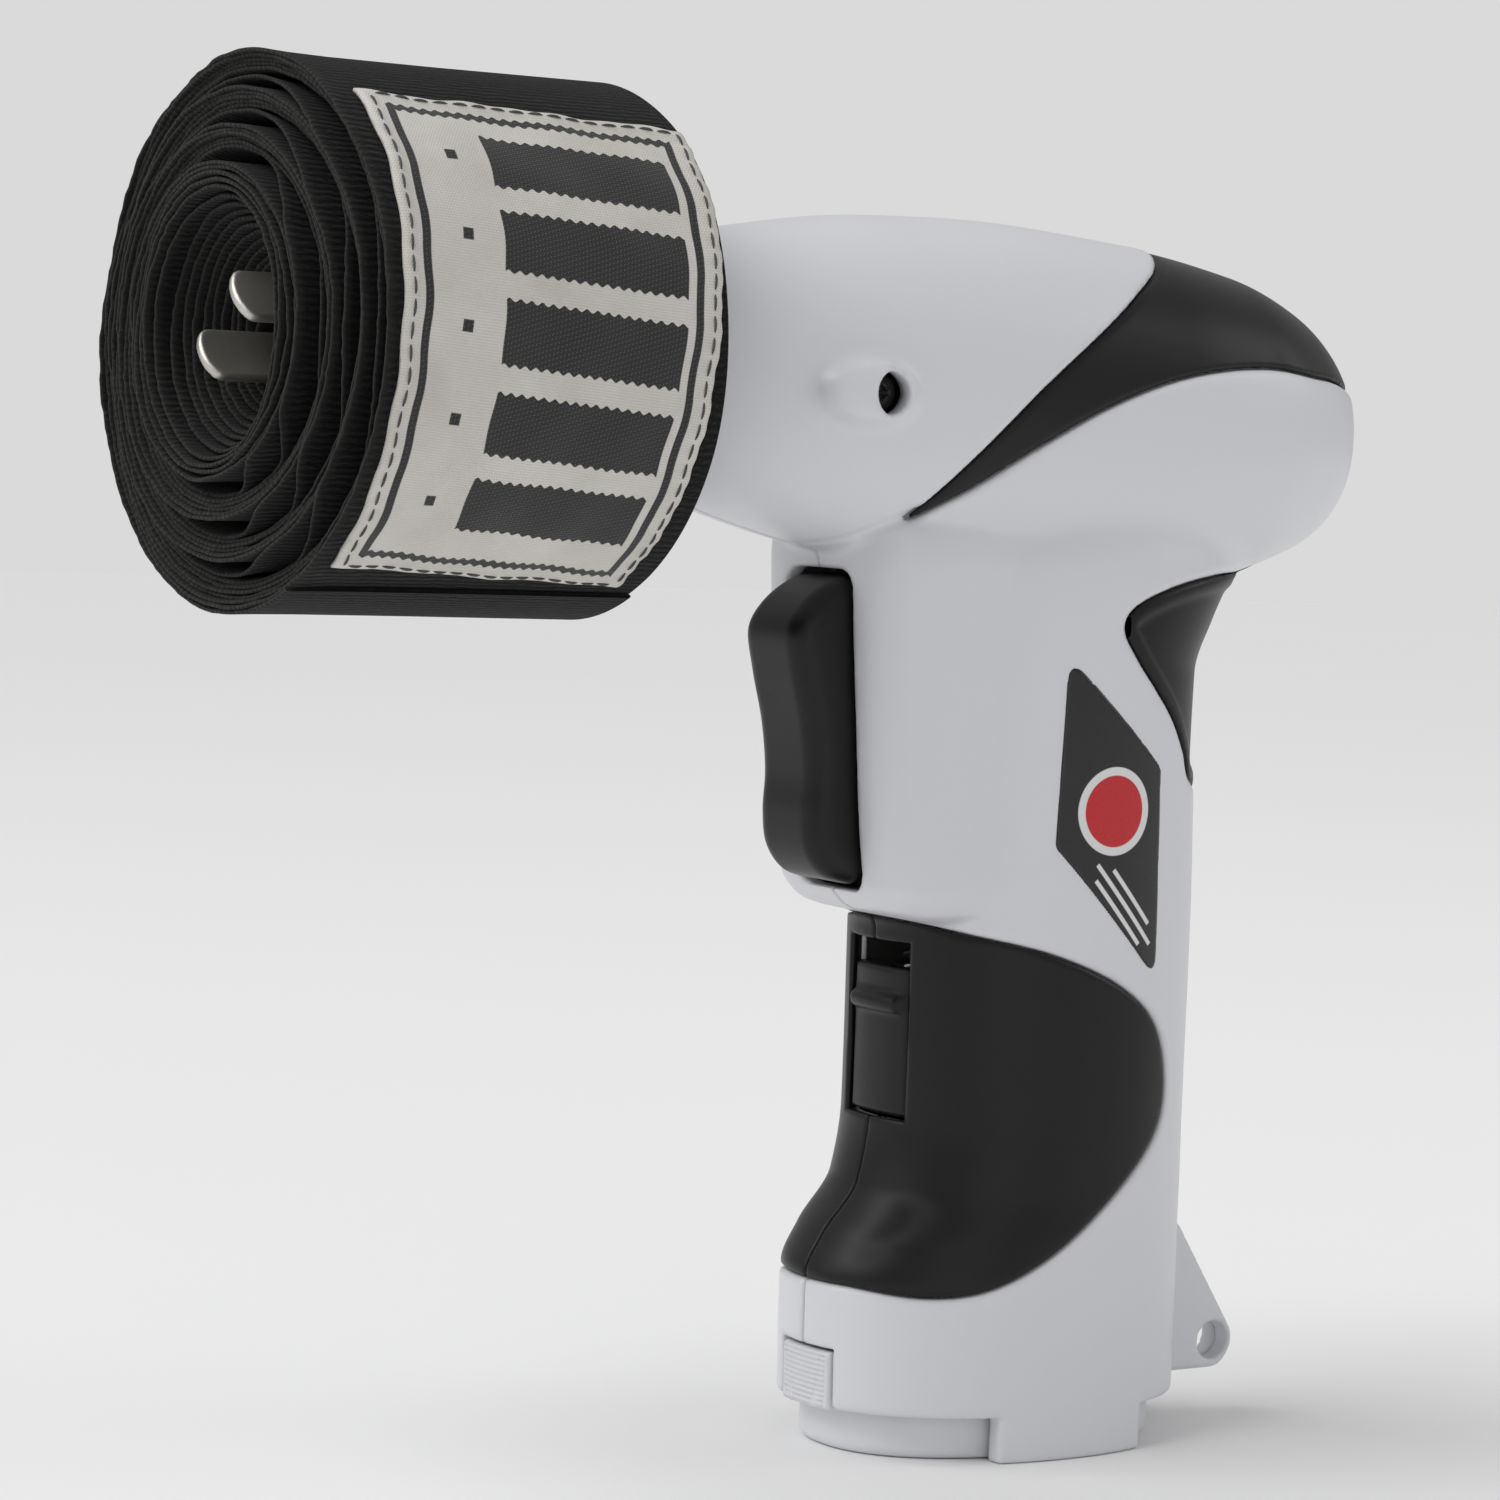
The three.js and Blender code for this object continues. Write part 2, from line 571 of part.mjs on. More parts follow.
// A disc with three planet pins behind it.
function carrierDisc(y0, y1, pinEnd) {
  const disc = bar('y', 11.6, y0, y1, [0, 0, AXIS_Z], 24);
  const pins = [0, 1, 2].map((k) => {
    const [x, y] = planetAt(k);
    return bar('y', 1.25, y1 - 0.5, pinEnd, [x, 0, AXIS_Z - y], 14);
  });
  return join(disc, ...pins);
}

function carrierOne() {
  const disc = carrierDisc(-23.5, -21.1, STAGE_1[1] + 0.2);
  return join(disc, sunGear(STAGE_2[0] + 0.2, -23.3));
}

function carrierTwo() {
  const disc = carrierDisc(STAGE_2[0] - 3.2, STAGE_2[0] - 0.5, STAGE_2[1] + 0.2);
  const drive = bar('y', 2.2, STAGE_2[0] - 9, STAGE_2[0] - 3, [0, 0, AXIS_Z], 6);
  return join(disc, drive);
}

function gearboxNose() {
  const front = STAGE_2[0] - 14;
  const face = STAGE_2[0] - 3.8;
  const { r, front: tip } = NOSE_BORE;
  const [outer, flange] = [7.4, 13.7];
  const profile = [[r, tip], [outer, tip], [outer, front], [flange, front], [flange, face], [r, face],
    [r, tip]];
  const body = turned(profile, 24);
  const screwHole = bar('x', SCREW_HOLE_R, -20, 20, [0, EYE.y, EYE.z], 14);
  return cut(body, screwHole);
}

function gearboxBackPlate() {
  return turned([[3.4, -13.8], [14.4, -13.8], [14.4, -12.3], [3.4, -12.3], [3.4, -13.8]], 24);
}

// ---------------------------------------------------------------- motor
function motorCan() {
  const { front, back, r, wall } = MOTOR;
  return turned([[3, front], [r, front], [r, back], [r - wall, back], [r - wall, front + wall],
    [3, front + wall], [3, front]], 28);
}

function motorEndCap() {
  const { back, r } = MOTOR;
  return turned([[2, back + 0.3], [r - 0.2, back + 0.3], [r - 0.2, back + 3], [6, back + 5],
    [2, back + 5], [2, back + 0.3]], 24);
}

function motorRotor() {
  const { front, back } = MOTOR;
  const [shaft, armature, commutator] = [1, 8.6, 3];
  const core = turned([[0, STAGE_1[1] - 0.5], [shaft, STAGE_1[1] - 0.5], [shaft, front + 5],
    [armature, front + 5], [armature, back - 7], [commutator, back - 7], [commutator, back - 2],
    [shaft, back - 2], [shaft, back + 4.6], [0, back + 4.6]], 16);
  return join(core, sunGear(STAGE_1[0] + 0.2, STAGE_1[1]));
}

function motorMagnet(side) {
  const { front, back, r, wall } = MOTOR;
  const ring = turned([[9.2, front + 5], [r - wall - 0.3, front + 5], [r - wall - 0.3, back - 6],
    [9.2, back - 6], [9.2, front + 5]], 28);
  const [x0, x1] = side > 0 ? [4.5, 14] : [-14, -4.5];
  return ring.intersect(box(x0, x1, -30, 30, 120, 160));
}

// ---------------------------------------------------------------- spindle, fork, wrap
function outputShaft() {
  const back = STAGE_2[0] - 3.6;
  const profile = [[0, -67.9], [SHAFT_R, -67.9], [SHAFT_R, back], [0, back]];
  const rivetHole = bar('y', 1.9, -69, -62, [0, 0, AXIS_Z], 14);
  const socket = bar('y', 2.8, back - 6, back + 1, [0, 0, AXIS_Z], 6);
  return cut(turned(profile, 24), rivetHole, socket);
}

function noseBushing() {
  const [inner, outer] = [SHAFT_R + 0.15, NOSE_BORE.r - GAP];
  const { front, back } = NOSE_BORE;
  return turned([[inner, front], [outer, front], [outer, back], [inner, back], [inner, front]], 28);
}

function shaftCollar() {
  const [inner, outer, front, back] = [SHAFT_R + GAP, 7, -66.9, NOSE_BORE.front - 0.5];
  return turned([[inner, front], [outer, front], [outer, back], [inner, back], [inner, front]], 24);
}

function tilted(solid) {
  const geometry = toGeometry(solid);
  geometry.translate(0, 0, -AXIS_Z);
  geometry.rotateY(THREE.MathUtils.degToRad(-FORK.tilt));
  geometry.translate(0, 0, AXIS_Z);
  return toSolid(geometry);
}

// A flat strip bent into a U, with gently curved tips.
function wrapFork() {
  const { tip, base, width, thick, pitch, tipR } = FORK;
  const outer = (pitch + thick) / 2;
  const corner = 2.4;
  const u = new THREE.Shape();
  u.moveTo(-outer, tip);
  u.lineTo(-outer, base - corner);
  u.absarc(-outer + corner, base - corner, corner, Math.PI, Math.PI / 2, true);
  u.lineTo(outer - corner, base);
  u.absarc(outer - corner, base - corner, corner, Math.PI / 2, 0, true);
  u.lineTo(outer, tip);
  u.lineTo(outer - thick, tip);
  u.absarc(outer - corner, base - corner, corner - thick, 0, Math.PI / 2, false);
  u.lineTo(-outer + corner, base - thick);
  u.absarc(-outer + corner, base - corner, corner - thick, Math.PI / 2, Math.PI, false);
  u.lineTo(-outer + thick, tip);
  const options = { depth: width, bevelEnabled: false, curveSegments: 5 };
  const bent = new THREE.ExtrudeGeometry(u, options);
  bent.translate(0, 0, AXIS_Z - width / 2);
  const outline = new THREE.Shape();
  const half = width / 2;
  const sweep = Math.asin(half / tipR);
  outline.moveTo(-half, base + 1);
  outline.lineTo(-half, tip + tipR * (1 - Math.cos(sweep)));
  outline.absarc(0, tip + tipR, tipR, 1.5 * Math.PI - sweep, 1.5 * Math.PI + sweep, false);
  outline.lineTo(half, base + 1);
  const rounded = new THREE.ExtrudeGeometry(outline, { depth: 30, bevelEnabled: false, curveSegments: 10 });
  rounded.rotateY(-Math.PI / 2);
  rounded.translate(15, 0, AXIS_Z);
  const strip = toSolid(bent).intersect(toSolid(rounded));
  return tilted(cut(strip, bar('y', 1.9, base - 2, base + 1, [0, 0, AXIS_Z], 14)));
}

function forkRivet() {
  const head = FORK.base - FORK.thick;
  return turned([[0, head - 1.6], [1.8, head - 1.6], [3, head - 0.9], [3, head - GAP],
    [1.55, head - GAP], [1.55, -63], [0, -63]], 16);
}

// The wound wrap: a proud ring part-way out and a recess around the fork's tips.
function handWrap() {
  const { front, back, r, bore, core } = WRAP;
  return turned([[bore, core], [0.4 * r, core - 1.6], [0.62 * r, front + 1], [0.7 * r, front],
    [0.94 * r, front + 0.4], [r, front + 1.6], [r, back - 1.4], [0.95 * r, back], [0.5 * r, back - 0.6],
    [bore, back - 3], [bore, core]], 26);
}

function wrapPatch() {
  const { front, back, r, thick, arc } = PATCH;
  const steps = 14;
  const half = THREE.MathUtils.degToRad(arc);
  const edge = (radius, from, to) => Array.from({ length: steps + 1 }, (_, i) => {
    const a = from + ((to - from) * i) / steps;
    return new THREE.Vector2(radius * Math.cos(a), radius * Math.sin(a));
  });
  const shape = new THREE.Shape([...edge(r, -half, half), ...edge(r - thick, half, -half)]);
  return acrossSpindle(shape, front, back);
}

// ---------------------------------------------------------------- screws and wires
// A pan-head screw along x: the seat is where the head's underside rests, side points outward.
function screw(side, seat, length, [y, z]) {
  const { headR, headH, shankR } = SCREW;
  const profile = [[0, -length], [shankR, -length], [shankR, GAP / 2], [headR, GAP / 2],
    [headR, headH * 0.6], [headR * 0.7, headH], [0, headH]];
  const geometry = new THREE.LatheGeometry(profile.map(([a, b]) => new THREE.Vector2(a, b)), 10);
  const [slot, span] = [0.7, 2.6];
  const [low, high] = [headH * 0.35, headH + 1];
  const crossA = new THREE.BoxGeometry(slot, high - low, span);
  const crossB = new THREE.BoxGeometry(span, high - low, slot);
  const lift = (low + high) / 2;
  const cross = join(toSolid(crossA.translate(0, lift, 0)), toSolid(crossB.translate(0, lift, 0)));
  const upright = toGeometry(cut(toSolid(geometry), cross));
  upright.rotateZ((-side * Math.PI) / 2);
  upright.translate(side * seat, y, z);
  return toSolid(upright);
}

function wire(points, r = 0.6) {
  const path = new THREE.CatmullRomCurve3(points.map((p) => new THREE.Vector3(...p)), false, 'centripetal');
  const ring = superellipse(r, r, 2, 6).map(([x, y]) => new THREE.Vector2(x, y));
  const options = { steps: 4 * points.length, bevelEnabled: false, extrudePath: path };
  return toSolid(new THREE.ExtrudeGeometry(new THREE.Shape(ring), options));
}

// ---------------------------------------------------------------- assembly
const group = new THREE.Group();

function place(name, solid, material) {
  const mesh = new THREE.Mesh(toGeometry(solid), material);
  mesh.name = name;
  group.add(mesh);
}

const shell = housing();
place('housing_left', largestBody(shell.intersect(box(SPLIT, 60, -90, 90, -10, 200))), WHITE);
place('housing_right', largestBody(shell.intersect(box(-60, -SPLIT, -90, 90, -10, 200))), WHITE);
place('top_insert', topInsert(), BLACK);
place('thumb_rest', thumbRest(), BLACK);
place('grip_panel_left', gripPanel(1), BLACK);
place('grip_panel_right', gripPanel(-1), BLACK);
place('side_label', labelSticker(), BLACK);

place('trigger', trigger(), BLACK);
place('trigger_pin', bar('x', PIN.r, -PIN.half, PIN.half, [0, ...PIVOT], 16), STEEL);
place('trigger_spring', triggerSpring(), SPRING_STEEL);
place('switch_body', switchBody(), DARK);
place('switch_knob', switchKnob(), NYLON);
place('latch_slider', latchSlider(), BLACK);
place('latch_spring', latchSpring(), SPRING_STEEL);

place('battery_cap', batteryCap(), WHITE);
place('battery_holder', batteryHolder(), BLACK);
const corners = [[1, 1], [-1, 1], [-1, -1], [1, -1]];
corners.forEach(([sx, sy], i) => {
  const at = [sx * CELL.pitch, CELL.y + sy * CELL.pitch];
  const up = i % 2 === 0;
  place(`battery_cell_${i + 1}`, cell(...at, up), CELL_SLEEVE);
  place(`cell_spring_${i + 1}`, cellSpring(...at, up), SPRING_STEEL);
});
place('contact_board', contactBoard(), BOARD);
place('contact_blade_front', contactBlade(-1), BRASS);
place('contact_blade_rear', contactBlade(1), BRASS);

place('motor_can', motorCan(), STEEL);
place('motor_end_cap', motorEndCap(), NYLON);
place('motor_rotor', motorRotor(), STEEL);
place('motor_magnet_left', motorMagnet(1), DARK);
place('motor_magnet_right', motorMagnet(-1), DARK);
place('gearbox_back_plate', gearboxBackPlate(), STEEL);
place('ring_gear', ringGear(), DARK);
place('gearbox_nose', gearboxNose(), DARK);
place('carrier_1', carrierOne(), NYLON);
place('carrier_2', carrierTwo(), STEEL);
for (const k of [0, 1, 2]) {
  place(`planet_1_${k + 1}`, planetGear(k, STAGE_1), NYLON);
  place(`planet_2_${k + 1}`, planetGear(k, STAGE_2), NYLON);
}

place('output_shaft', outputShaft(), STEEL);
place('nose_bushing', noseBushing(), BRONZE);
place('shaft_collar', shaftCollar(), DARK);
place('wrap_fork', wrapFork(), STEEL);
place('fork_rivet', forkRivet(), STEEL);
place('hand_wrap', handWrap(), CLOTH);
place('wrap_patch', wrapPatch(), WOVEN);

place('eye_screw_left', screw(1, EYE.seat, 8, [EYE.y, EYE.z]), DARK);
place('eye_screw_right', screw(-1, EYE.seat, 8, [EYE.y, EYE.z]), DARK);
RIGHT_SCREWS.forEach((at, i) => {
  const seat = seatDepth(at);
  place(`case_screw_${i + 1}`, screw(-1, seat, seat + 6, at), DARK);
});
place('wire_red', wire([[4, 4, 73.6], [8, 6, 80], [9, 0, 88], [9, -4, 94]]), COPPER_RED);
place('wire_black', wire([[-4, 4, 73.6], [-8, 8, 84], [-9, 10, 100], [-9, 16, 118], [-6, 26, 128],
  [-5, 27, 134]]), DARK);

export default group;
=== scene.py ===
"""Looks of a cordless hand-wrap roller: a two-part moulded pistol body with black inlays, a rocker
trigger, a drop-out battery pack, and a cloth wrap wound on a steel fork.

Named lengths are millimetres in the part's frame: +Z up, -Y forward along the spindle, +X the
tool's left side. Moulded pieces are fields (negative inside), turned into meshes by `mesh_of`.
"""
import json
import math

import bpy
import numpy as np
from mathutils import Matrix, Vector


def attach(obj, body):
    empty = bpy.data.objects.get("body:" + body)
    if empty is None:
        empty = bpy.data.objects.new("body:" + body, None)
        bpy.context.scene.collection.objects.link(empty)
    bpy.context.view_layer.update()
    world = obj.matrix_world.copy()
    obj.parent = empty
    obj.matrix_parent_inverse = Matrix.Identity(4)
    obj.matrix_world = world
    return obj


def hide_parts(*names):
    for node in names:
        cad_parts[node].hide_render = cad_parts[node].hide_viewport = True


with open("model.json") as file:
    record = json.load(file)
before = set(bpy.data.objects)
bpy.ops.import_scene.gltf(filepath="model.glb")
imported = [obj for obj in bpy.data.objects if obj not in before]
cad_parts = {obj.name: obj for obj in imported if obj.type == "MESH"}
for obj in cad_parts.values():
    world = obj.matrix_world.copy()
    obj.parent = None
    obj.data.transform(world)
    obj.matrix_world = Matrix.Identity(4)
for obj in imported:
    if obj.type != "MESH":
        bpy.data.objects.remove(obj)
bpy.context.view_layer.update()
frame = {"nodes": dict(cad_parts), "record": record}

MM = 0.001

# ------------------------------------------------------------------ sizes shared with the CAD part
GAP = 0.3
WALL = 2.6
SKIN = 1.2
AXIS_Z = 142.0
HEAD = [  # y, top, bottom, half width
    (-67, 152.0, 131.2, 12.4), (-61, 155.8, 125.8, 15.4), (-50, 158.2, 121.4, 18),
    (-30, 160.8, 117, 20), (-8, 161, 114.6, 20.9), (12, 159.4, 113.8, 21),
    (28, 156.8, 114.8, 19.8), (38, 153.2, 117.8, 17), (45.5, 147.8, 122, 12.4), (50.2, 135.6, 135.2, 0.4),
]
HANDLE = [  # z, front, back, half width
    (6, -30, 27, 20), (23, -30.4, 26.8, 20), (28, -28, 26.6, 19.8), (35, -22.8, 26.3, 19.5),
    (44, -21.4, 26, 19.5), (70, -21.8, 25.8, 19.5), (84, -22, 25.3, 19.5), (94, -22, 24.9, 19.5),
    (103, -22, 25.0, 19.5), (110, -22, 27.8, 19.5), (116, -22, 31, 19.2), (124, -22, 34, 17),
]
BLOCK = [  # z, front, half width
    (69.6, -23.4, 12), (71.4, -26.8, 14.8), (75, -29.4, 16), (96, -31.8, 16), (116, -33.4, 16),
    (122, -33.6, 15),
]
BLOCK_BACK = 4.0
ROUND, SQUARE = 2.2, 5.0
RIM_Z = 6.0
FOOT = dict(front=-11.4, back=12.7, inner=16.2)
LUG_HALF, LUG_HOLE, LUG_HOLE_R = 3.0, (36.9, 10.2), 2.65
LUG_OUTLINE = [(22, 27.8), (29.4, 27.8), (41, 10.4), (38.6, 6.3), (22, 6.1)]
TOP_INSERT = [(-29.4, 122), (-23, 130.2), (-12.1, 140.8), (2.5, 151.3), (10.6, 156.2), (14.6, 160),
              (17, 170), (70, 170), (60, 142), (38, 142.6), (24.3, 143.6), (10.6, 141.9), (-1.8, 137.8),
              (-13.6, 131.7), (-23.6, 125.2)]
THUMB_REST = [(44, 117.4), (30, 116.6), (20, 116.2), (11.4, 114.7), (4.4, 112), (2.4, 109), (4.9, 105),
              (8.6, 101.1), (12.4, 97.2), (15.6, 93), (19, 88.6), (32, 87.6)]
GRIP_PANEL = [(-42, 72.4), (-24, 70.4), (-15.4, 68.6), (-5.5, 66.3), (4.6, 62.3), (11.7, 57),
              (14.7, 49.8), (13.5, 42.8), (6.4, 35.1), (-3.1, 27.7), (-12.6, 23), (-20.5, 21.6),
              (-28.5, 22.4), (-42, 25)]
CREASE = [(-29, 123), (-38.5, 117.6)]
LABEL = [(-6.2, 105.2), (10.0, 90.8), (10.9, 62.6), (-6.8, 80.4)]
LABEL_DISC = dict(y=1.9, z=85.2, r=4.7, ring=5.8)
LABEL_RULES = dict(start=(-1.6, 77.2), end=(8.0, 66.6), half=0.3, step=1.5, short=(0.1, 0.0, 0.16))
TRIGGER = dict(half=7.0, top=114.6, bottom=74.5)
SLOT = dict(side=0.45, end=0.7, corner=2.8, back=-19)  # round the trigger
NOSE = dict(r=8, back=-50)  # hole that the spindle comes out of
TRIGGER_FRONT = [(-29, 114.6), (-33.6, 114), (-38, 111.2), (-40.5, 107.2), (-39.6, 101.7),
                 (-37.8, 95), (-36.9, 88.7), (-37, 83.5), (-36.2, 78.9), (-33.4, 75.6), (-29, 74.5)]
LATCH = dict(half=6.1, bottom=43.9, top=63.4, window=6.5, window_top=66.8, ridge=58.6, room=0.4)
TONGUE = dict(half=5.2, bottom=5.7, top=13.4, ribs=10, room=0.45)
FORK = dict(tip=-121.6, base=-69.4, width=7.5, thick=1.2, pitch=10.5, tilt=42.0, tip_r=6.0)
WRAP = dict(back=-70.0, r=32.9, bore=7.5, turns=33.45, cloth=0.54)
BUNDLE = dict(thick=4.7, squeeze=0.34, recede=1.7, lean=1.2, rise=0.15)
CLOTH_STATIONS = [0.0, 0.22, 1.2, 3.5, 9.0, 24.0]  # behind the cloth's front edge
PATCH = dict(front=-116.2, thick=0.36, lift=0.22, turned=2.0, drop=0.8, skew=3.2, shift=1.6, lean=1.2,
             narrow=2.2)
PATCH_FLAT = (43.4, 65.0)
PATCH_FRAME = (2.6, 3.7)
PATCH_BARS = dict(first=6.6, step=10.6, high=7.4, left=13.5, right=38.6, count=5)
PATCH_DOTS = dict(u=8.6, half=0.7, first=10.2, step=10.6)
STITCH = dict(inset=1.15, stride=2.5, length=1.9, r=0.16, end_r=0.08, lift=0.24, sides=6, rings=5)
EYE = dict(y=-37.5, z=137.9, r=2.65, boss_x=16.4, ahead=2.6, half=(7.0, 8.4, 4.7), flat=22.0, seat=16.9)
CASE_SCREWS = [(40, 128), (-20, 79), (18, 80), (-20.5, 16)]
SCREW = dict(head_r=2.4, head_h=1.8, dome=2.2, shank_r=1.35, shank=6, slot=0.33, slot_reach=1.35)
SOFT_EDGE = 0.08  # of printed and woven marks
BODY_PITCH = 0.6

# ------------------------------------------------------------------ camera and lights
AIM = Vector((0, -42.6, 91.6)) * MM
SUN = {"from": (-0.15, -0.7, 1.0), "power": 1.45, "spread": 45}
WORLD = dict(light=0.42, seen=0.70)
LAMPS = [  # name, place and size in metres, watts
    ("key", (-0.25, -1.15, 0.85), (1.3, 1.3), 4.2),
    ("fill", (1.35, -0.35, 0.30), (0.9, 1.2), 1.6),
    ("rim", (0.5, 1.1, 0.7), (0.6, 0.6), 1.6),
]
CAMERA = dict(azimuth=56.0, elevation=3.7, roll=2.6, distance=0.616, lens=115.2)


# ------------------------------------------------------------------ fields
def smooth_max(a, b, k):
    h = np.maximum(k - np.abs(a - b), 0) / k
    return np.maximum(a, b) + h * h * k / 4


def smooth_min(a, b, k):
    return -smooth_max(-a, -b, k)


def rounded_max(a, b, r):
    """The overlap of two fields, with a true fillet of radius r along the edge where they meet."""
    return np.minimum(-r, np.maximum(a, b)) + np.hypot(np.maximum(a + r, 0), np.maximum(b + r, 0))


def eased(rows, samples=600):
    """A table's rows joined by a monotone cubic: closely spaced places and their values."""
    rows = np.array(rows, float)
    at, values = rows[:, 0], rows[:, 1:]
    step = np.diff(at)[:, None]
    slope = np.diff(values, axis=0) / step
    product = slope[:-1] * slope[1:]
    total = np.where(product > 0, slope[:-1] + slope[1:], 1)
    inner = np.where(product > 0, 2 * product / total, 0)
    tangent = np.vstack([slope[:1], inner, slope[-1:]])
    fine = np.linspace(at[0], at[-1], samples)
    seg = np.clip(np.searchsorted(at, fine, "right") - 1, 0, len(at) - 2)
    h = step[seg]
    u = (fine - at[seg])[:, None] / h
    start, end = values[seg], values[seg + 1]
    return fine, (start * (1 + 2 * u) * (1 - u) ** 2 + tangent[seg] * h * u * (1 - u) ** 2
                  + end * u * u * (3 - 2 * u) + tangent[seg + 1] * h * u * u * (u - 1))


def lookup(table, where):
    fine, values = table
    return [np.interp(where, fine, values[:, i]) for i in range(values.shape[1])]


def section(u, v, a, b, power):
    """Radial distance, in a cross-section, to a superellipse of half sizes a and b."""
    reach = np.hypot(u, v)
    grade = (np.abs(u / a) ** power + np.abs(v / b) ** power) ** (1 / power)
    return np.where(reach < 1e-3, -np.minimum(a, b), reach - reach / np.maximum(grade, 1e-6))


# Squares of the head's half sizes are what is eased, so that its ends come out round.
HEAD_TABLE = eased([(y, (top + low) / 2, ((top - low) / 2) ** 2, half ** 2) for y, top, low, half in HEAD])
HANDLE_TABLE = eased(HANDLE)
BLOCK_TABLE = eased(BLOCK)


def head(x, y, z):
    middle, height, width = lookup(HEAD_TABLE, y)
    f = section(x, z - middle, np.sqrt(width), np.sqrt(height), ROUND)
    f = np.maximum(f, y - HEAD[-1][0])
    return smooth_max(f, HEAD[0][0] - y, 3.0)


def handle(x, y, z):
    front, back, half = lookup(HANDLE_TABLE, z)
    f = section(x, y - (front + back) / 2, half, (back - front) / 2, ROUND)
    return np.maximum(f, z - HANDLE[-1][0])


def block(x, y, z):
    front, half = lookup(BLOCK_TABLE, z)
    f = section(x, y - (front + BLOCK_BACK) / 2, half, (BLOCK_BACK - front) / 2, SQUARE)
    return smooth_max(smooth_max(f, BLOCK[0][0] - z, 2.0), z - BLOCK[-1][0], 2.0)


def eye_boss(x, y, z):
    a, b, c = EYE["half"]
    u, v, w = (np.abs(x) - EYE["boss_x"]) / a, (y - EYE["y"] + EYE["ahead"]) / b, (z - EYE["z"]) / c
    return smooth_max((np.sqrt(u * u + v * v + w * w) - 1) * c, np.abs(x) - EYE["flat"], 1.2)


def raw_form(x, y, z):
    body = smooth_min(head(x, y, z), handle(x, y, z), 2.2)
    body = smooth_min(body, block(x, y, z), 1.4)
    return smooth_min(body, eye_boss(x, y, z), 1.3)


def form(x, y, z):
    """Distance to the tool's outer form: the raw field divided by its own steepness."""
    h = 0.05
    f = raw_form(x, y, z)
    gx = (raw_form(x + h, y, z) - f) / h
    gy = (raw_form(x, y + h, z) - f) / h
    gz = (raw_form(x, y, z + h) - f) / h
    return f / np.sqrt(np.maximum(gx * gx + gy * gy + gz * gz, 0.04))


def curve_through(points, closed=True, steps=8):
    """Points on a Catmull-Rom curve through the given ones."""
    p = np.array(points, float)
    n = len(p)
    spans = n if closed else n - 1
    out = []
    for i in range(spans):
        ids = [(i - 1) % n, i, (i + 1) % n, (i + 2) % n]
        if not closed:
            ids = [max(i - 1, 0), i, i + 1, min(i + 2, n - 1)]
        a, b, c, d = p[ids]
        for t in np.arange(steps) / steps:
            out.append(0.5 * (2 * b + (c - a) * t + (2 * a - 5 * b + 4 * c - d) * t * t
                              + (3 * b - a - 3 * c + d) * t ** 3))
    if not closed:
        out.append(p[-1])
    return np.array(out)


def filleted(corners, radius, steps=6):
    """A polygon with each corner replaced by a smooth curve."""
    p = np.array(corners, float)
    out = []
    for i in range(len(p)):
        before, at, after = p[i - 1], p[i], p[(i + 1) % len(p)]
        back, ahead = np.linalg.norm(before - at), np.linalg.norm(after - at)
        u = (before - at) / back
        v = (after - at) / ahead
        half = math.acos(np.clip(u @ v, -1, 1)) / 2
        reach = min(radius / math.tan(half), 0.45 * min(back, ahead))
        start, end = at + u * reach, at + v * reach
        for t in np.arange(steps + 1) / steps:
            out.append((1 - t) ** 2 * start + 2 * t * (1 - t) * at + t * t * end)
    return np.array(out)


def outline_distance(outline):
    """Signed distance to a closed outline in (y, z), tabled once and then looked up."""
    pitch = 0.3
    p = np.asarray(outline, float)
    low = np.maximum(p.min(0) - 6, (-75, -6))
    high = np.minimum(p.max(0) + 6, (75, 178))
    n = np.ceil((high - low) / pitch).astype(int) + 1
    gy, gz = np.meshgrid(low[0] + pitch * np.arange(n[0]), low[1] + pitch * np.arange(n[1]), indexing="ij")
    nearest = np.full(gy.shape, 1e9)
    inside = np.zeros(gy.shape, bool)
    for a, b in zip(p, np.roll(p, -1, axis=0)):
        d = b - a
        t = np.clip(((gy - a[0]) * d[0] + (gz - a[1]) * d[1]) / max(d @ d, 1e-12), 0, 1)
        nearest = np.minimum(nearest, (gy - a[0] - t * d[0]) ** 2 + (gz - a[1] - t * d[1]) ** 2)
        crosses = (a[1] > gz) != (b[1] > gz)
        if d[1]:
            inside ^= crosses & (gy < a[0] + (gz - a[1]) * d[0] / d[1])
    table = np.sqrt(nearest) * np.where(inside, -1, 1)

    def at(y, z):
        u = np.clip((y - low[0]) / pitch, 0, n[0] - 1.001)
        v = np.clip((z - low[1]) / pitch, 0, n[1] - 1.001)
        i, j = u.astype(int), v.astype(int)
        u, v = u - i, v - j
        return ((table[i, j] * (1 - u) + table[i + 1, j] * u) * (1 - v)
                + (table[i, j + 1] * (1 - u) + table[i + 1, j + 1] * u) * v)
    return at


def box_field(x, y, z, low, high):
    """A box, as the largest of its six face distances; None leaves a side open."""
    f = np.full(np.shape(x), -1e3)
    for value, a, b in zip((x, y, z), low, high):
        if a is not None:
            f = np.maximum(f, a - value)
        if b is not None:
            f = np.maximum(f, value - b)
    return f


def carve(f, cutter, edge):
    return smooth_max(f, -cutter, edge)


# ------------------------------------------------------------------ fields to meshes
def evaluate(field, p, chunk=400000):
    out = np.empty(len(p))
    for i in range(0, len(p), chunk):
        part = p[i:i + chunk]
        out[i:i + chunk] = field(part[:, 0], part[:, 1], part[:, 2])
    return out


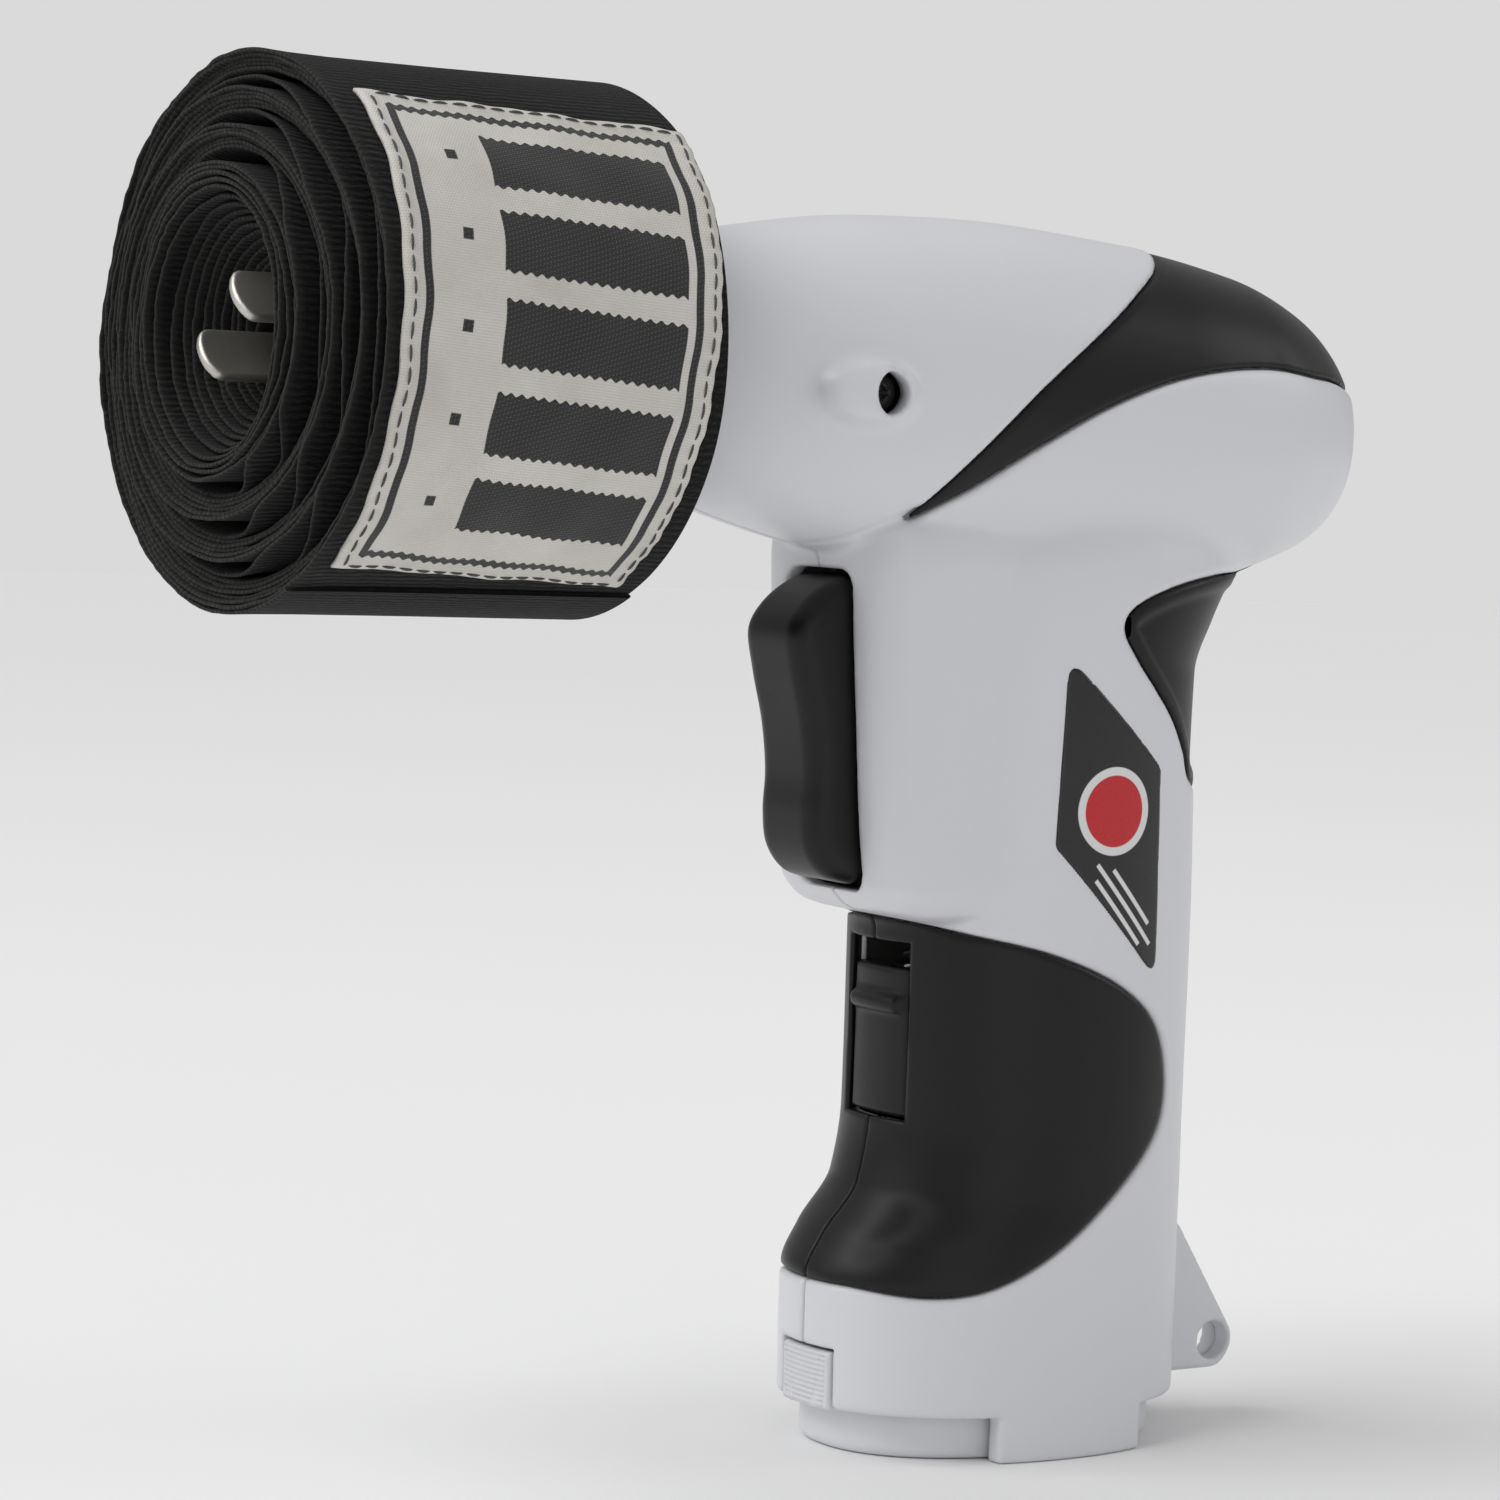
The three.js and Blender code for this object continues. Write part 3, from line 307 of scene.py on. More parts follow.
def sampled(field, low, high, pitch, block_size=4):
    """The field on a grid. Blocks far from the surface keep one value."""
    blocks = np.ceil((np.array(high) - low) / pitch / block_size).astype(int)
    origin = np.array(low, float)
    middle = (np.indices(blocks).reshape(3, -1).T + 0.5) * block_size * pitch + origin - pitch / 2
    coarse = evaluate(field, middle)
    near = np.abs(coarse) < block_size * pitch * 1.3
    values = coarse.reshape(blocks)
    for axis in range(3):
        values = np.repeat(values, block_size, axis=axis)
    corner = np.indices(blocks).reshape(3, -1).T[near] * block_size
    offset = np.indices((block_size,) * 3).reshape(3, -1).T
    cells = (corner[:, None, :] + offset[None]).reshape(-1, 3)
    values[tuple(cells.T)] = evaluate(field, cells * pitch + origin)
    return values, origin


def surface_net(values):
    """Vertices (in grid units) and quads of the surface where values change sign."""
    solid = values < 0
    size = np.array(values.shape) - 1
    corners = np.indices((2, 2, 2)).reshape(3, -1).T
    count = np.zeros(size, np.int8)
    for c in corners:
        count += solid[c[0]:c[0] + size[0], c[1]:c[1] + size[1], c[2]:c[2] + size[2]]
    cells = np.argwhere((count > 0) & (count < 8))
    number = np.full(size, -1, np.int64)
    number[tuple(cells.T)] = np.arange(len(cells))
    total = np.zeros((len(cells), 3))
    hits = np.zeros(len(cells))
    for axis in range(3):
        step = np.eye(3, dtype=int)[axis]
        for c in corners[corners[:, axis] == 0]:
            a = values[tuple((cells + c).T)]
            b = values[tuple((cells + c + step).T)]
            crossing = (a < 0) != (b < 0)
            t = np.where(crossing, a / np.where(a == b, 1, a - b), 0)
            total += crossing[:, None] * (c + t[:, None] * step)
            hits += crossing
    vertices = cells + total / hits[:, None]
    quads = []
    for axis in range(3):
        other = [i for i in range(3) if i != axis]
        inner = [slice(1, -1)] * 3
        inner[axis] = slice(0, -1)
        after = list(inner)
        after[axis] = slice(1, None)
        s0, s1 = solid[tuple(inner)], solid[tuple(after)]
        at = np.argwhere(s0 != s1)
        flip = s0[tuple(at.T)]
        at = at + [0 if i == axis else 1 for i in range(3)]
        u, v = np.eye(3, dtype=int)[other[0]], np.eye(3, dtype=int)[other[1]]
        ring = [number[tuple((at - o).T)] for o in (u + v, v, 0 * u, u)]
        quad = np.stack(ring, axis=1)
        turn = flip if axis != 1 else ~flip
        quads.append(np.where(turn[:, None], quad, quad[:, ::-1]))
    return vertices, np.vstack(quads)


def mesh_of(name, field, low, high, pitch, passes=3):
    """A mesh of the field's surface. Its points are then moved onto the exact surface."""
    values, origin = sampled(field, low, high, pitch)
    vertices, quads = surface_net(values)
    p = vertices * pitch + origin
    h = 0.03
    for _ in range(passes):
        f = evaluate(field, p)
        g = np.stack([evaluate(field, p + h * e) - f for e in np.eye(3)], axis=1) / h
        move = -f[:, None] * g / np.maximum((g * g).sum(1), 0.1)[:, None]
        far = np.maximum(np.linalg.norm(move, axis=1) / (0.6 * pitch), 1)
        p = p + move / far[:, None]
    return new_object(name, p, quads)


def new_object(name, points_mm, faces):
    mesh = bpy.data.meshes.new(name)
    faces = np.asarray(faces)
    size = faces.shape[1]
    mesh.vertices.add(len(points_mm))
    mesh.vertices.foreach_set("co", (np.asarray(points_mm) * MM).astype(np.float32).ravel())
    mesh.loops.add(faces.size)
    mesh.loops.foreach_set("vertex_index", faces.astype(np.int32).ravel())
    mesh.polygons.add(len(faces))
    mesh.polygons.foreach_set("loop_start", np.arange(0, faces.size, size, dtype=np.int32))
    mesh.polygons.foreach_set("use_smooth", np.full(len(faces), True))
    mesh.update(calc_edges=True)
    mesh.validate()
    obj = bpy.data.objects.new(name, mesh)
    bpy.context.scene.collection.objects.link(obj)
    return obj


def millimetre_map(obj, coordinates):
    """Stores each point's place on a flat cut, in millimetres, for the material to read."""
    values = np.zeros((len(obj.data.vertices), 3), np.float32)
    values[:, :np.shape(coordinates)[1]] = coordinates
    attribute = obj.data.attributes.new("flat_mm", "FLOAT_VECTOR", "POINT")
    attribute.data.foreach_set("vector", values.ravel())


# ------------------------------------------------------------------ materials
class Shader:
    """A node tree being written: each method adds a node and returns its output."""

    def __init__(self, name):
        self.material = bpy.data.materials.new(name)
        self.material.use_nodes = True
        self.tree = self.material.node_tree
        self.principled = self.tree.nodes["Principled BSDF"]

    def node(self, kind, inputs=(), output=0, **settings):
        node = self.tree.nodes.new(kind)
        for key, value in settings.items():
            setattr(node, key, value)
        for key, value in dict(inputs).items():
            self.put(node.inputs[key], value)
        return node.outputs[output]

    def put(self, socket, value):
        if isinstance(value, bpy.types.NodeSocket):
            self.tree.links.new(value, socket)
        else:
            socket.default_value = value

    def set(self, **values):
        for key, value in values.items():
            self.put(self.principled.inputs[key.replace("_", " ")], value)

    def math(self, operation, a, b=0.0):
        return self.node("ShaderNodeMath", {0: a, 1: b}, operation=operation)

    def place(self):
        return self.node("ShaderNodeTexCoord", output=3)

    def noise(self, scale, detail=3.0, roughness=0.5, stretch=(1, 1, 1), vector=None):
        vector = self.place() if vector is None else vector
        moved = self.node("ShaderNodeMapping", {"Vector": vector, "Scale": stretch})
        return self.node("ShaderNodeTexNoise", {"Vector": moved, "Scale": scale, "Detail": detail,
                                                "Roughness": roughness})

    def between(self, value, low, high):
        """value from 0..1 spread to low..high."""
        return self.node("ShaderNodeMapRange", {"Value": value, "To Min": low, "To Max": high})

    def ramp(self, value, start, end):
        """0 below start, 1 above end, smooth between."""
        return self.node("ShaderNodeMapRange", {"Value": value, "From Min": start, "From Max": end},
                         interpolation_type="SMOOTHSTEP")

    def below(self, value, limit):
        """1 where value is below the limit and 0 above it, over a soft edge."""
        return self.ramp(value, limit + SOFT_EDGE, limit - SOFT_EDGE)

    def blend(self, factor, a, b):
        node = self.tree.nodes.new("ShaderNodeMix")
        node.data_type = "RGBA"
        for socket, value in ((node.inputs[0], factor), (node.inputs[6], a), (node.inputs[7], b)):
            self.put(socket, value)
        return node.outputs[2]

    def bump(self, height, strength, distance_mm, normal=None):
        inputs = {"Height": height, "Strength": strength, "Distance": distance_mm * MM}
        if normal is not None:
            inputs["Normal"] = normal
        return self.node("ShaderNodeBump", inputs)

    def flat_mm(self):
        vector = self.node("ShaderNodeAttribute", attribute_name="flat_mm", output=1)
        split = self.tree.nodes.new("ShaderNodeSeparateXYZ")
        self.put(split.inputs[0], vector)
        return vector, split.outputs[0], split.outputs[1], split.outputs[2]


def grey(value):
    return (value, value, value, 1.0)


def moulded(name, color, roughness, grain=0.25, speck=0.03):
    """Injection-moulded plastic: a fine even grain, faint flow clouds and handling marks."""
    s = Shader(name)
    clouds = s.noise(28, 4, 0.55)
    fine = s.noise(2600, 2, 0.6)
    scuff = s.ramp(s.noise(420, 5, 0.7, stretch=(1, 0.25, 1)), 0.62, 0.8)
    darker = tuple(c * (1 - speck * 2) for c in color[:3]) + (1,)
    base = s.blend(clouds, darker, color)
    rough = s.between(clouds, roughness * 0.88, roughness * 1.12)
    rough = s.math("ADD", rough, s.math("MULTIPLY", scuff, 0.08))
    s.set(Base_Color=base, Roughness=rough, Normal=s.bump(fine, grain, 0.012))
    s.principled.inputs["IOR"].default_value = 1.5
    return s.material


def white_plastic():
    return moulded("white_abs", (0.70, 0.705, 0.735, 1), 0.36, 0.2, 0.012)


def black_plastic():
    s = Shader("black_satin")
    clouds = s.noise(35, 4, 0.6)
    fine = s.noise(3000, 2, 0.6)
    marks = s.ramp(s.noise(160, 6, 0.75, stretch=(0.4, 1, 0.6)), 0.55, 0.75)
    s.set(Base_Color=s.blend(clouds, grey(0.0055), grey(0.0095)),
          Roughness=s.math("ADD", s.between(clouds, 0.33, 0.40), s.math("MULTIPLY", marks, 0.1)),
          Normal=s.bump(fine, 0.25, 0.012))
    s.principled.inputs["Specular IOR Level"].default_value = 0.27
    return s.material


def metal(name, color, roughness, metallic=1.0):
    """Metal with fine parallel brushing and duller patches."""
    s = Shader(name)
    brushed = s.noise(160, 4, 0.7, stretch=(1, 40, 1))
    patches = s.noise(90, 3, 0.6)
    dull = tuple(c * 0.72 for c in color[:3]) + (1,)
    s.set(Base_Color=s.blend(patches, dull, color), Metallic=metallic,
          Roughness=s.math("ADD", s.between(brushed, roughness - 0.08, roughness + 0.12),
                           s.math("MULTIPLY", patches, 0.12)),
          Normal=s.bump(brushed, 0.25, 0.02))
    return s.material


def cell_sleeve():
    """A battery's printed film: dark, with a lighter band round its top."""
    s = Shader("cell_sleeve")
    split = s.tree.nodes.new("ShaderNodeSeparateXYZ")
    s.put(split.inputs[0], s.place())
    band = s.ramp(split.outputs[2], 0.046, 0.0465)
    print_grain = s.noise(900, 2)
    base = s.blend(band, (0.025, 0.05, 0.09, 1), (0.45, 0.30, 0.12, 1))
    s.set(Base_Color=base, Roughness=s.between(print_grain, 0.25, 0.4), Metallic=0.6,
          Normal=s.bump(print_grain, 0.1, 0.02))
    return s.material


def board_material():
    s = Shader("glass_fibre_board")
    weave = s.noise(1400, 2, 0.5, stretch=(1, 1, 0.1))
    s.set(Base_Color=s.blend(weave, (0.02, 0.10, 0.05, 1), (0.04, 0.18, 0.09, 1)),
          Roughness=s.between(weave, 0.35, 0.55), Normal=s.bump(weave, 0.3, 0.03))
    return s.material


def label_material():
    """Printed film: black, with a plain red roundel in a pale ring and three pale rules."""
    s = Shader("label_film")
    _, y, z, _ = s.flat_mm()
    dy, dz = s.math("SUBTRACT", y, LABEL_DISC["y"]), s.math("SUBTRACT", z, LABEL_DISC["z"])
    reach = s.math("SQRT", s.math("ADD", s.math("MULTIPLY", dy, dy), s.math("MULTIPLY", dz, dz)))
    disc = s.below(reach, LABEL_DISC["r"])
    ring = s.below(reach, LABEL_DISC["ring"])
    (y0, z0), (y1, z1) = LABEL_RULES["start"], LABEL_RULES["end"]
    run = math.hypot(y1 - y0, z1 - z0)
    dy, dz = (y1 - y0) / run, (z1 - z0) / run
    from_y, from_z = s.math("SUBTRACT", y, y0), s.math("SUBTRACT", z, z0)
    along = s.math("ADD", s.math("MULTIPLY", from_y, dy), s.math("MULTIPLY", from_z, dz))
    across = s.math("SUBTRACT", s.math("MULTIPLY", from_z, dy), s.math("MULTIPLY", from_y, dz))
    rules = 0.0
    for i, short in enumerate(LABEL_RULES["short"]):
        off = s.math("ABSOLUTE", s.math("SUBTRACT", across, i * LABEL_RULES["step"]))
        end = s.math("ABSOLUTE", s.math("SUBTRACT", along, run / 2))
        line = s.math("MULTIPLY", s.below(off, LABEL_RULES["half"]), s.below(end, run * (0.5 - short)))
        rules = s.math("MAXIMUM", rules, line)
    grain = s.noise(1500, 2)
    film = s.blend(s.noise(60), grey(0.008), grey(0.014))
    pale = s.blend(s.math("MAXIMUM", ring, rules), film, grey(0.72))
    s.set(Base_Color=s.blend(disc, pale, (0.52, 0.012, 0.018, 1)), Roughness=s.between(grain, 0.22, 0.34),
          Normal=s.bump(s.math("MAXIMUM", ring, rules), 0.3, 0.02))
    return s.material


def cloth_material():
    """Ribbed black cotton: ribs across the wrap, short raised stitches along them, pale fuzz, and painted
    shade that darkens the grooves between ribs and between stitches.
    """
    s = Shader("ribbed_cotton")
    vector, along, across, edge = s.flat_mm()
    wander = s.noise(0.35, 2, 0.5, vector=vector)
    turns = s.math("MULTIPLY", s.math("ADD", along, s.math("MULTIPLY", wander, 0.9)), 2 * math.pi / 0.95)
    rib = s.node("ShaderNodeMapRange", {"Value": s.math("SINE", turns), "From Min": -1.0, "From Max": 1.0})
    dash = s.noise(0.9, 3, 0.65, stretch=(2.6, 0.8, 1), vector=vector)
    fuzz = s.noise(6.0, 4, 0.7, stretch=(1.0, 1.0, 1.0), vector=vector)
    # Painted shade: the colour goes darker in the grooves between ribs and stitches, the same low places
    # that the bump sinks.
    rib_relief_and_groove_shade = s.math("MULTIPLY", rib, s.ramp(dash, 0.3, 0.6))
    cotton = s.blend(rib_relief_and_groove_shade, (0.0025, 0.0025, 0.0027, 1), (0.0125, 0.012, 0.0115, 1))
    worn_fuzz_and_groove_shade = s.blend(s.ramp(fuzz, 0.55, 0.8), cotton, (0.024, 0.0225, 0.021, 1))
    # The colour lightens towards each layer's front edge.
    lighter_front_edge = s.blend(s.math("MULTIPLY", edge, 0.6), worn_fuzz_and_groove_shade, (0.035, 0.034, 0.032, 1))
    height = s.math("ADD", s.math("MULTIPLY", rib_relief_and_groove_shade, 1.0), s.math("MULTIPLY", fuzz, 0.35))
    s.set(Base_Color=lighter_front_edge, Roughness=s.between(fuzz, 0.85, 1.0), Normal=s.bump(height, 0.8, 0.22))
    s.principled.inputs["Sheen Weight"].default_value = 0.05
    s.principled.inputs["Sheen Roughness"].default_value = 0.5
    s.principled.inputs["Specular IOR Level"].default_value = 0.15
    return s.material


def patch_material():
    """Woven damask: pale ground with fine picks, a black frame, plain bars and small squares."""
    s = Shader("woven_label")
    _, u, v, _ = s.flat_mm()
    width, length = PATCH_FLAT
    scallop = s.math("MULTIPLY", s.math("SINE", s.math("MULTIPLY", u, 2 * math.pi / 1.5)), 0.2)
    in_u = s.math("MINIMUM", u, s.math("SUBTRACT", width, u))
    in_v = s.math("MINIMUM", v, s.math("SUBTRACT", length, v))
    wavy = s.math("ADD", in_v, scallop)
    inset = s.math("MINIMUM", in_u, wavy)
    frame_in, frame_out = PATCH_FRAME
    inside = s.ramp(inset, frame_in - SOFT_EDGE, frame_in + SOFT_EDGE)
    frame_line = s.math("MULTIPLY", inside, s.below(inset, frame_out))
    row = s.math("SUBTRACT", s.math("ADD", v, scallop), PATCH_BARS["first"])
    number = s.math("FLOOR", s.math("DIVIDE", row, PATCH_BARS["step"]))
    within = s.math("SUBTRACT", row, s.math("MULTIPLY", number, PATCH_BARS["step"]))
    past_left = s.math("SUBTRACT", u, PATCH_BARS["left"])
    last = PATCH_BARS["count"] * PATCH_BARS["step"] - 0.5
    bars = s.below(within, PATCH_BARS["high"])
    for limit in (s.ramp(past_left, -SOFT_EDGE, SOFT_EDGE), s.below(u, PATCH_BARS["right"]),
                  s.ramp(row, -SOFT_EDGE, SOFT_EDGE), s.below(row, last)):
        bars = s.math("MULTIPLY", bars, limit)
    dot_row = s.math("SUBTRACT", v, PATCH_DOTS["first"])
    dot_at = s.math("PINGPONG", dot_row, PATCH_DOTS["step"] / 2)
    dot_side = s.math("ABSOLUTE", s.math("SUBTRACT", u, PATCH_DOTS["u"]))
    squares = s.math("MULTIPLY", s.below(dot_at, PATCH_DOTS["half"]), s.below(dot_side, PATCH_DOTS["half"]))
    squares = s.math("MULTIPLY", squares, s.ramp(inset, frame_out + 1.0, frame_out + 1.1))
    black = s.math("MAXIMUM", s.math("MAXIMUM", frame_line, bars), squares)
    picks = s.math("SINE", s.math("MULTIPLY", v, 2 * math.pi / 0.34))
    picks = s.node("ShaderNodeMapRange", {"Value": picks, "From Min": -1.0, "From Max": 1.0})
    slanted = s.math("ADD", v, s.math("MULTIPLY", u, 1.6))
    twill = s.math("SINE", s.math("MULTIPLY", slanted, 2 * math.pi / 0.6))
    ends = s.math("SINE", s.math("MULTIPLY", u, 2 * math.pi / 0.5))
    fleck = s.math("MULTIPLY", s.ramp(twill, 0.72, 0.98), s.ramp(ends, 0.3, 0.9))
    soil = s.noise(110, 4, 0.6)
    ground = s.blend(soil, (0.50, 0.475, 0.43, 1), (0.74, 0.72, 0.68, 1))
    ground = s.blend(s.math("MULTIPLY", picks, 0.35), ground, (0.42, 0.40, 0.36, 1))
    ink = s.blend(s.math("MULTIPLY", fleck, 0.55), (0.008, 0.008, 0.008, 1), (0.22, 0.21, 0.19, 1))
    height = s.math("ADD", s.math("MULTIPLY", picks, 0.5), s.math("MULTIPLY", twill, 0.25))
    height = s.math("ADD", height, s.math("MULTIPLY", black, 0.6))
    s.set(Base_Color=s.blend(black, ground, ink), Roughness=s.between(picks, 0.55, 0.75),
          Normal=s.bump(height, 0.5, 0.1))
    s.principled.inputs["Sheen Weight"].default_value = 0.2
    return s.material


def thread_material():
    s = Shader("dark_thread")
    twist = s.noise(900, 3, 0.6, stretch=(1, 3, 1))
    s.set(Base_Color=s.blend(twist, grey(0.03), grey(0.10)), Roughness=s.between(twist, 0.6, 0.9),
          Normal=s.bump(twist, 0.5, 0.05))
    return s.material


def materials():
    """One material for each slot of the record."""
    return {
        "white_shell": white_plastic(),
        "black_insert": black_plastic(),
        "label_film": label_material(),
        "dark_plastic": moulded("dark_nylon", grey(0.03), 0.5),
        "nylon": moulded("natural_nylon", (0.62, 0.58, 0.47, 1), 0.5),
        "steel": metal("brushed_steel", (0.66, 0.63, 0.58, 1), 0.40),
        "spring_steel": metal("drawn_wire", (0.38, 0.39, 0.41, 1), 0.28),
        "screw_black": metal("black_oxide", grey(0.03), 0.35, metallic=0.7),
        "brass": metal("stamped_brass", (0.66, 0.46, 0.20, 1), 0.3),
        "sintered_bronze": metal("sintered_bronze", (0.42, 0.26, 0.13, 1), 0.5),
        "cell_can": cell_sleeve(),
        "magnet": moulded("ferrite", grey(0.02), 0.6, 0.5),
        "circuit_board": board_material(),
        "red_wire": moulded("red_insulation", (0.42, 0.02, 0.02, 1), 0.45),
        "black_wire": moulded("black_insulation", grey(0.012), 0.45),
        "wrap_cloth": cloth_material(),
        "woven_label": patch_material(),
    }


MATERIALS = materials()


def finish_piece(obj, body, slot, *nodes):
    """Gives a piece its slot's material and its body, and hides the CAD nodes that it stands for."""
    obj.data.materials.append(MATERIALS[slot])
    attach(obj, body)
    if nodes:
        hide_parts(*nodes)
    return obj


def paint_frame():
    """Every CAD node gets its own slot's material, shown or not."""
    for part in frame["record"]["subparts"]:
        node = frame["nodes"][part["node"]]
        node.data.materials.clear()
        node.data.materials.append(MATERIALS[part["material_slot"]])


# ------------------------------------------------------------------ moulded body
TOP_FIELD = outline_distance(curve_through(TOP_INSERT))
THUMB_FIELD = outline_distance(curve_through(THUMB_REST))
GRIP_FIELD = outline_distance(curve_through(GRIP_PANEL))
LUG_FIELD = outline_distance(filleted(LUG_OUTLINE, 3.6))
LABEL_FIELD = outline_distance(filleted(LABEL, 1.6))


def latch_window(x, y, z, back):
    """The pocket that the latch slides in, cut in as far as y = back."""
    low = (-LATCH["window"], None, LATCH["bottom"] - LATCH["room"])
    return box_field(x, y, z, low, (LATCH["window"], back, LATCH["window_top"]))


def opening(x, y, z):
    """The trigger's, latch's and tongue's openings and the nose hole, as one field."""
    high = np.maximum(TRIGGER["bottom"] - SLOT["end"] - z, z - TRIGGER["top"] - SLOT["end"])
    slot = rounded_max(np.abs(x) - TRIGGER["half"] - SLOT["side"], high, SLOT["corner"])
    slot = np.maximum(slot, y - SLOT["back"])
    window = latch_window(x, y, z, -13)
    half, top = TONGUE["half"] + TONGUE["room"], TONGUE["top"] + TONGUE["room"]
    tongue = box_field(x, y, z, (-half, None, -5), (half, -20, top))
    nose = np.maximum(np.hypot(x, z - AXIS_Z) - NOSE["r"], y - NOSE["back"])
    return np.minimum(np.minimum(slot, window), np.minimum(tongue, nose))


def shell_field(side):
    def field(x, y, z):
        outer = form(x, y, z)
        f = smooth_max(outer, -outer - WALL, 0.3)
        lug = smooth_max(LUG_FIELD(y, z), np.abs(x) - LUG_HALF, 0.8)
        f = smooth_min(f, np.maximum(lug, -outer - WALL), 1.2)
        foot = box_field(np.abs(x), y, z, (FOOT["inner"], FOOT["front"], 0),
                         (None, FOOT["back"], RIM_Z + 2))
        f = np.minimum(f, smooth_max(foot, outer, 0.5))
        below = np.minimum(RIM_Z - z, foot)
        f = smooth_max(f, below, 0.7)
        depth = -outer - SKIN - GAP - 0.3
        for outline in (TOP_FIELD, THUMB_FIELD, GRIP_FIELD):
            f = carve(f, np.maximum(outline(y, z), depth), 0.9)
        f = carve(f, crease(y, z, outer), 0.8)
        f = carve(f, opening(x, y, z), 0.6)
        f = carve(f, np.hypot(y - LUG_HOLE[0], z - LUG_HOLE[1]) - LUG_HOLE_R, 0.5)
        eye = np.maximum(np.hypot(y - EYE["y"], z - EYE["z"]) - EYE["r"], EYE["seat"] - GAP - np.abs(x))
        f = carve(f, eye, 1.2)
        if side < 0:
            for sy, sz in CASE_SCREWS:
                well = np.maximum(np.hypot(y - sy, z - sz) - SCREW["head_r"] - GAP, x + seat_depth(sy))
                f = carve(f, well, 0.5)
        return smooth_max(f, 0.07 - side * x, 0.3)
    return field


def crease(y, z, outer):
    """The fold that runs on from the top inlay's front tip and fades out."""
    start, end = np.array(CREASE[0]), np.array(CREASE[1])
    d = end - start
    t = np.clip(((y - start[0]) * d[0] + (z - start[1]) * d[1]) / (d @ d), 0, 1)
    off = np.hypot(y - start[0] - t * d[0], z - start[1] - t * d[1])
    return np.hypot(off, outer) - 0.75 * (1 - t) - 0.05


def seat_depth(y):
    return 9.0 if y > 30 else 12.5


def make_shells():
    for side, name in ((1, "left"), (-1, "right")):
        low = (-1.5 if side > 0 else -24.5, -70, -1.5)
        high = (24.5 if side > 0 else 1.5, 56, 164.5)
        shell = mesh_of("shell_" + name, shell_field(side), low, high, BODY_PITCH)
        finish_piece(shell, "housing", "white_shell", "housing_" + name)


def inlay_field(outline, sink, edge, extra=None):
    """A skin of the body's form inside a side outline, sunk a little and with eased edges."""
    def field(x, y, z):
        outer = form(x, y, z)
        f = smooth_max(outer + sink, -outer - SKIN - 0.3, 0.2)
        f = smooth_max(f, outline(y, z) + GAP / 2, edge)
        return f if extra is None else extra(f, x, y, z)
    return field


def thumb_field():
    """The thumb rest: its middle is dished, and leaves a raised rim around it."""
    plain = inlay_field(THUMB_FIELD, -0.1, 1.0)

    def field(x, y, z):
        inward = np.clip((-THUMB_FIELD(y, z) - 1.3) / 1.6, 0, 1)
        dish = form(x, y, z) + 0.55 * inward * inward * (3 - 2 * inward)
        return smooth_max(plain(x, y, z), dish, 0.3)
    return field


def make_inlays():
    pitch = 0.42
    top = mesh_of("top_inlay", inlay_field(TOP_FIELD, 0.3, 1.0), (-22.5, -30, 118), (22.5, 56, 164), pitch)
    finish_piece(top, "housing", "black_insert", "top_insert")
    thumb = mesh_of("thumb_inlay", thumb_field(), (-22, 3, 83), (22, 44, 118.5), pitch)
    finish_piece(thumb, "housing", "black_insert", "thumb_rest")
    for side, name in ((1, "left"), (-1, "right")):
        def halved(f, x, y, z, side=side):
            return smooth_max(carve(f, latch_window(x, y, z, -10), 0.5), 0.05 - side * x, 0.35)
        low = (-1.5 if side > 0 else -22, -32, 18)
        high = (22 if side > 0 else 1.5, 18, 75)
        grip = mesh_of("grip_" + name, inlay_field(GRIP_FIELD, 0.1, 0.9, halved), low, high, pitch)
        finish_piece(grip, "housing", "black_insert", "grip_panel_" + name)


def make_label_film():
    def field(x, y, z):
        outer = form(x, y, z)
        f = smooth_max(outer - 0.14, -outer - 1.0, 0.1)
        f = smooth_max(f, LABEL_FIELD(y, z), 0.15)
        return np.maximum(f, 8 - x)
    film = mesh_of("label_film", field, (14, -8.5, 61.5), (21.5, 12.5, 107), 0.32)
    points = np.array([v.co for v in film.data.vertices]) / MM
    millimetre_map(film, points[:, 1:])
    finish_piece(film, "housing", "label_film", "side_label")


# ------------------------------------------------------------------ trigger, latch, battery cap
def make_trigger():
    front = curve_through(TRIGGER_FRONT, closed=False)
    outline = outline_distance(np.vstack([front, [(-26.4, 76), (-26.4, 113)]]))

    def field(x, y, z):
        return rounded_max(outline(y, z), np.abs(x) - TRIGGER["half"], 3.2)
    rocker = mesh_of("rocker", field, (-8, -42, 73), (8, -25, 116), 0.4)
    finish_piece(rocker, "trigger", "black_insert", "trigger")


def make_latch():
    def field(x, y, z):
        outer = form(x, y, z)
        plate = smooth_max(outer + 0.7, -outer - 3.6, 0.3)
        sides = box_field(x, y, z, (-LATCH["half"], None, LATCH["bottom"]),
                          (LATCH["half"], -14, LATCH["top"]))
        plate = smooth_max(plate, sides, 0.8)
        bar = np.hypot(outer + 0.4, (z - LATCH["ridge"]) * 0.9) - 1.0
        bar = smooth_max(bar, np.abs(x) - 5.2, 0.8)
        return smooth_min(plate, bar, 1.0)
    latch = mesh_of("latch_button", field, (-7.5, -24.5, 42.5), (7.5, -13, 65), 0.35)
    finish_piece(latch, "latch", "black_insert", "latch_slider")


